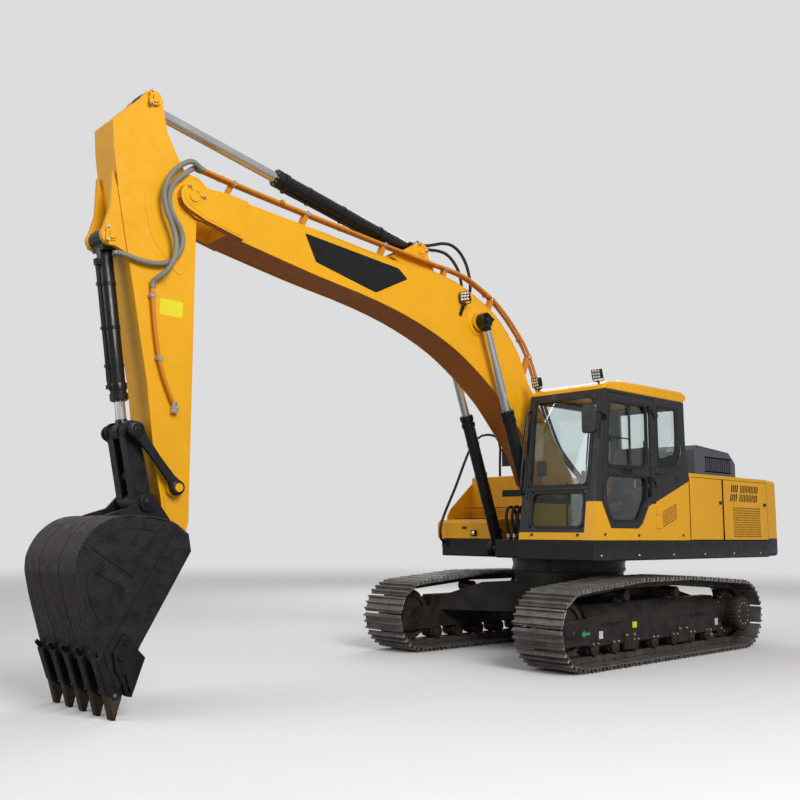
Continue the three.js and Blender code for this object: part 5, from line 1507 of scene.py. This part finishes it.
# ---------------------------------------------------------------- hoses
ARM_PIN = BOOM.pin_at(BOOM_LENGTH, 0)
ARM_HOSE = [(-81.8, 237, 251.7), (-52.2, 237, 256.7), (-12, 240, 278), (35.2, 243, 291.4), (75.2, 245, 277.4),
            (135.2, 247, 235.4), (210.2, 250, 156.4), (265.2, 254, 56.4), (290.2, 256, -58.6),
            (265.2, 257, -178.6), (213.2, 258, -288.6), (175.2, 259, -388.6), (165.2, 260, -498.6),
            (188.2, 259, -608.6), (239.2, 250, -696.6), (290.2, 222, -748.6), (318.2, 200, -783.6),
            (322.2, 196, -808.6), (322.2, 196, -835.2)]
BUCKET_HOSE = [(-81.8, 188, 254), (-52.2, 188, 257), (-12, 191, 262), (20.2, 192, 239.4), (50.2, 195, 213.4),
               (95.2, 200, 165.4), (145.2, 204, 116.4), (195.2, 204, 41.4), (213.2, 204, -48.6),
               (200.2, 204, -138.6), (155.2, 204, -218.6), (100.2, 204, -298.6), (75.2, 204, -398.6),
               (105.2, 204, -508.6), (180.2, 204, -588.6), (275.2, 204, -628.6), (375.2, 203, -638.6),
               (465.2, 201, -632.6), (545.2, 196, -618.6), (603.2, 180, -605.6), (622.9, 150, -601),
               (622.9, 120.5, -601)]
LIFT_PLANES = ((196, 158), (146, 108))
RAM_HOSES = [[(3327.9, 30, 1409.2), (3298.8, 30, 1416.6), (3260, 32, 1427), (3200, 36, 1455), (3110, 42, 1535),
              (3010, 48, 1625), (2900, 54, 1685), (2780, 58, 1695), (2650, 60, 1650), (2540, 60, 1560),
              (2460, 60, 1450), (2430, 60, 1350), (2430, 60, 1271)],
             [(3327.9, -30, 1409.2), (3298.8, -30, 1416.6), (3255, -30, 1427), (3190, -26, 1446),
              (3090, -18, 1495), (2990, -10, 1555), (2870, -4, 1595), (2740, 0, 1580), (2620, 0, 1520),
              (2540, 0, 1430), (2495, 0, 1350), (2495, 0, 1271)]]


def hose_fitting(target, start, ahead, radius):
    """A crimped ferrule, a swivel nut and a short nose at a hose's end."""
    way = (ahead - start).normalized()
    lathe(target, start, way, [(radius * 0.7, -2), (radius * 1.05, 0), (radius * 1.05, 16), (radius * 0.8, 18)], 6)
    lathe(target, start, way, [(radius * 0.8, 16), (radius * 1.12, 19), (radius * 1.12, 30), (radius * 1.06, 32),
                               (radius * 1.12, 34), (radius * 1.12, 50), (radius * 1.02, 56)], 20)


def lift_route(top, foot):
    points = [(759.5, top, 3004), (730, top, 2945), (650, top - 4, 2790), (520, (top + foot) / 2 + 7, 2560),
              (350, foot + 14, 2330), (120, foot + 6, 2140), (-110, foot + 2, 1970), (-270, foot, 1760),
              (-320, foot, 1560), (-300, foot, 1400), (-290, foot, 1330), (-290, foot, 1270.3)]
    return [swing(*point) for point in points]


def front_route(y):
    points = [(1010, 1270.3), (1010, 1330), (1040, 1440), (1048, 1540), (1015, 1615), (950, 1630), (890, 1580),
              (868, 1490), (880, 1390), (890, 1330), (890, 1270.3)]
    return [swing(x, y, z) for x, z in points]


def near_arm_pin(route):
    return [swing(ARM_PIN[0] + x, y, ARM_PIN[1] + z) for x, y, z in route]


def hose_piece(name, routes, radius, material, ends, nut=1.0):
    """Hoses as one piece, with fittings that ride the bodies they are screwed to."""
    work = bmesh.new()
    for route in routes:
        pipe(work, route, radius, 18, 7)
        for body, here, ahead in zip(ends, (route[0], route[-1]), (route[1], route[-2])):
            hose_fitting(bench(body, ZINC, f"{name}_{body}_fittings"), here, ahead, radius * nut)
    return finish_mesh(name, work, material, None)


def lay_hoses():
    arm_line = near_arm_pin(ARM_HOSE)
    bucket_line = near_arm_pin(BUCKET_HOSE)
    for name, line in (("arm_hose", arm_line), ("bucket_hose", bucket_line)):
        piece = hose_piece(f"{name}_run", [line], 22.5, SLEEVE, ("boom", "arm"), 0.72)
        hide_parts(name)
        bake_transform(piece)
    lines = [lift_route(*planes) for planes in LIFT_PLANES]
    piece = hose_piece("lift_hose_runs", lines, 17, RUBBER, ("boom", "upper"))
    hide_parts("lift_hoses")
    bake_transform(piece)
    lines = [front_route(y) for y in (-70, 15, 100)]
    piece = hose_piece("front_hose_runs", lines, 18, RUBBER, ("upper", "upper"))
    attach(piece, "upper")
    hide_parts("front_hoses")
    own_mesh(piece)
    lines = [[BOOM.at(a, b, y) for a, y, b in route] for route in RAM_HOSES]
    piece = hose_piece("ram_hose_runs", lines, 17, RUBBER, ("boom", "boom"))
    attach(piece, "boom")
    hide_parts("ram_hoses")


# ---------------------------------------------------------------- seat and inside of the cab
def swollen(name, outline, low, high, cap, material):
    """A padded slab blown up by a cloth simulation, capped, then smoothed."""
    work = bmesh.new()
    slab(work, lambda a, b, depth: swing(a, depth, b), round_corners(outline, 40), low, high, 30)
    mesh = bpy.data.meshes.new(name)
    work.to_mesh(mesh)
    work.free()
    mesh.materials.append(material)
    piece = bpy.data.objects.new(name, mesh)
    LINK(piece)
    bpy.context.view_layer.objects.active = piece
    piece.select_set(True)
    mesh.remesh_voxel_size = 0.014
    bpy.ops.object.voxel_remesh()
    rest = [vertex.co.copy() for vertex in piece.data.vertices]
    cloth = piece.modifiers.new("swell", "CLOTH")
    cloth.settings.use_pressure = True
    cloth.settings.uniform_pressure_force = 4
    cloth.settings.effector_weights.gravity = 0
    cloth.point_cache.frame_start, cloth.point_cache.frame_end = 1, 20
    for step in range(1, 21):
        SCENE.frame_set(step)
    blown = piece.evaluated_get(bpy.context.evaluated_depsgraph_get()).data
    moved = [vertex.co.copy() for vertex in blown.vertices]
    piece.modifiers.remove(cloth)
    for vertex, old, new in zip(piece.data.vertices, rest, moved):
        step = new - old
        vertex.co = old + step.normalized() * min(step.length, cap / 1000)
    SCENE.frame_set(1)
    smooth = piece.modifiers.new("smooth", "SUBSURF")
    smooth.levels = smooth.render_levels = 1
    bpy.context.view_layer.update()
    data = bpy.data.meshes.new_from_object(piece.evaluated_get(bpy.context.evaluated_depsgraph_get()))
    piece.modifiers.clear()
    piece.data = data
    piece.select_set(False)
    piece.data.polygons.foreach_set("use_smooth", [True] * len(piece.data.polygons))
    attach(piece, "upper")
    return piece


def furnish_cab():
    """Seat, armrests, levers, floor mat and console details seen through the glass."""
    pad = swollen("seat_cushion", [(30, 1560), (545, 1560), (552, 1620), (190, 1640), (40, 1640)], 635, 1105, 24,
                  CLOTH)
    rest = swollen("seat_back", [(20, 1665), (150, 1665), (80, 2060), (-20, 2330), (-70, 2330), (-60, 2060)], 640,
                   1100, 24, CLOTH)
    trim = bench("upper", PLASTIC, "console_trim")
    grip = bench("upper", RUBBER, "lever_grips")
    bright = bench("upper", ZINC, "lever_rods")
    for y in (540, 1200):
        block(trim, swing, (60, 420), (y - 55, y + 55), (1790, 1800), 3, 14)
        block(trim, swing, (60, 330), (y - 38, y + 38), (1800, 1838), 10, 20)
        for x in (110, 160, 210):
            block(bright, swing, (x, x + 26), (y - 20, y + 20), (1838, 1842), 1)
        pipe(bright, [swing(390, y, 1795), swing(402, y, 1880), swing(400, y, 1930)], 7, 8, 4)
        lathe(grip, swing(400, y, 1925), (0.1, 0, 1), [(14, 0), (20, 10), (18, 50), (24, 85), (26, 105), (14, 122)],
              18)
    mat = bench("upper", RUBBER, "floor_ribs")
    for x in range(620, 930, 30):
        block(mat, swing, (x, x + 14), (560, 1180), (1311, 1315), 1)
    for y in (760, 980):
        block(grip, swing, (955, 1105), (y - 60, y + 60), (1362, 1370), 2, 12)
    screen = bench("upper", PLASTIC, "display")
    block(screen, lambda y, z, out: swing(1080 + out, y, z), (400, 520), (1950, 2120), (-30, 0), 4, 12)
    return pad, rest


# ---------------------------------------------------------------- assembly
SPECIAL = {
    "cab_shell": dict(width=10, segments=3, keep=split_cab, second=YELLOW),
    "counterweight": dict(width=8, keep=split_counterweight, second=NAVY),
    "body_shell": dict(width=12, segments=3),
    "engine_hood": dict(width=14, segments=3),
    "fuel_tank": dict(width=22, segments=4),
    "hydraulic_tank": dict(width=22, segments=4),
    "tool_box": dict(width=8, segments=3),
    "bucket": dict(width=5, keep=shrink_bucket),
    "boom": dict(keep=shade_underside, second=UNDERSIDE_SHADE),
}
REBUILT = {"left_track", "right_track", "left_mirror", "radiator_door", "boom_pipes", "arm_pipe", "seat",
           "left_side_link", "right_side_link", "arm_hose", "bucket_hose", "ram_hoses", "front_hoses",
           "lift_hoses", "left_boom_rod", "right_boom_rod", "arm_rod", "bucket_rod", "left_boom_cylinder",
           "right_boom_cylinder", "arm_cylinder", "bucket_cylinder"}


def build_machine():
    for sign in (1, -1):
        lay_track(sign)
    dress_cab()
    dress_door()
    dress_mirror()
    dress_doors()
    dress_hood()
    dress_tanks()
    dress_deck()
    dress_boom()
    dress_arm()
    dress_rams()
    dress_bucket()
    dress_links()
    for sign in (1, -1):
        dress_side_frame(sign)
        dress_drive(sign)
    dress_centre()
    lay_hoses()
    for cushion in furnish_cab():
        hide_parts("seat")
    made = finish_work()
    for side in ("left", "right"):
        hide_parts(f"{side}_side_link")
    for name in ("left_boom", "right_boom", "arm", "bucket"):
        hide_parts(f"{name}_cylinder")
        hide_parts(f"{name}_rod")
        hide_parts(f"{name}_rod")
    for side in ("left", "right"):
        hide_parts(f"{side}_track")
    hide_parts("left_mirror")
    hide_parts("radiator_door")
    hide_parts("boom_pipes")
    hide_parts("arm_pipe")
    for node in NODES:
        if node not in REBUILT and "glass" not in node and "windshield" not in node:
            refined(node, **SPECIAL.get(node, {}))


build_machine()
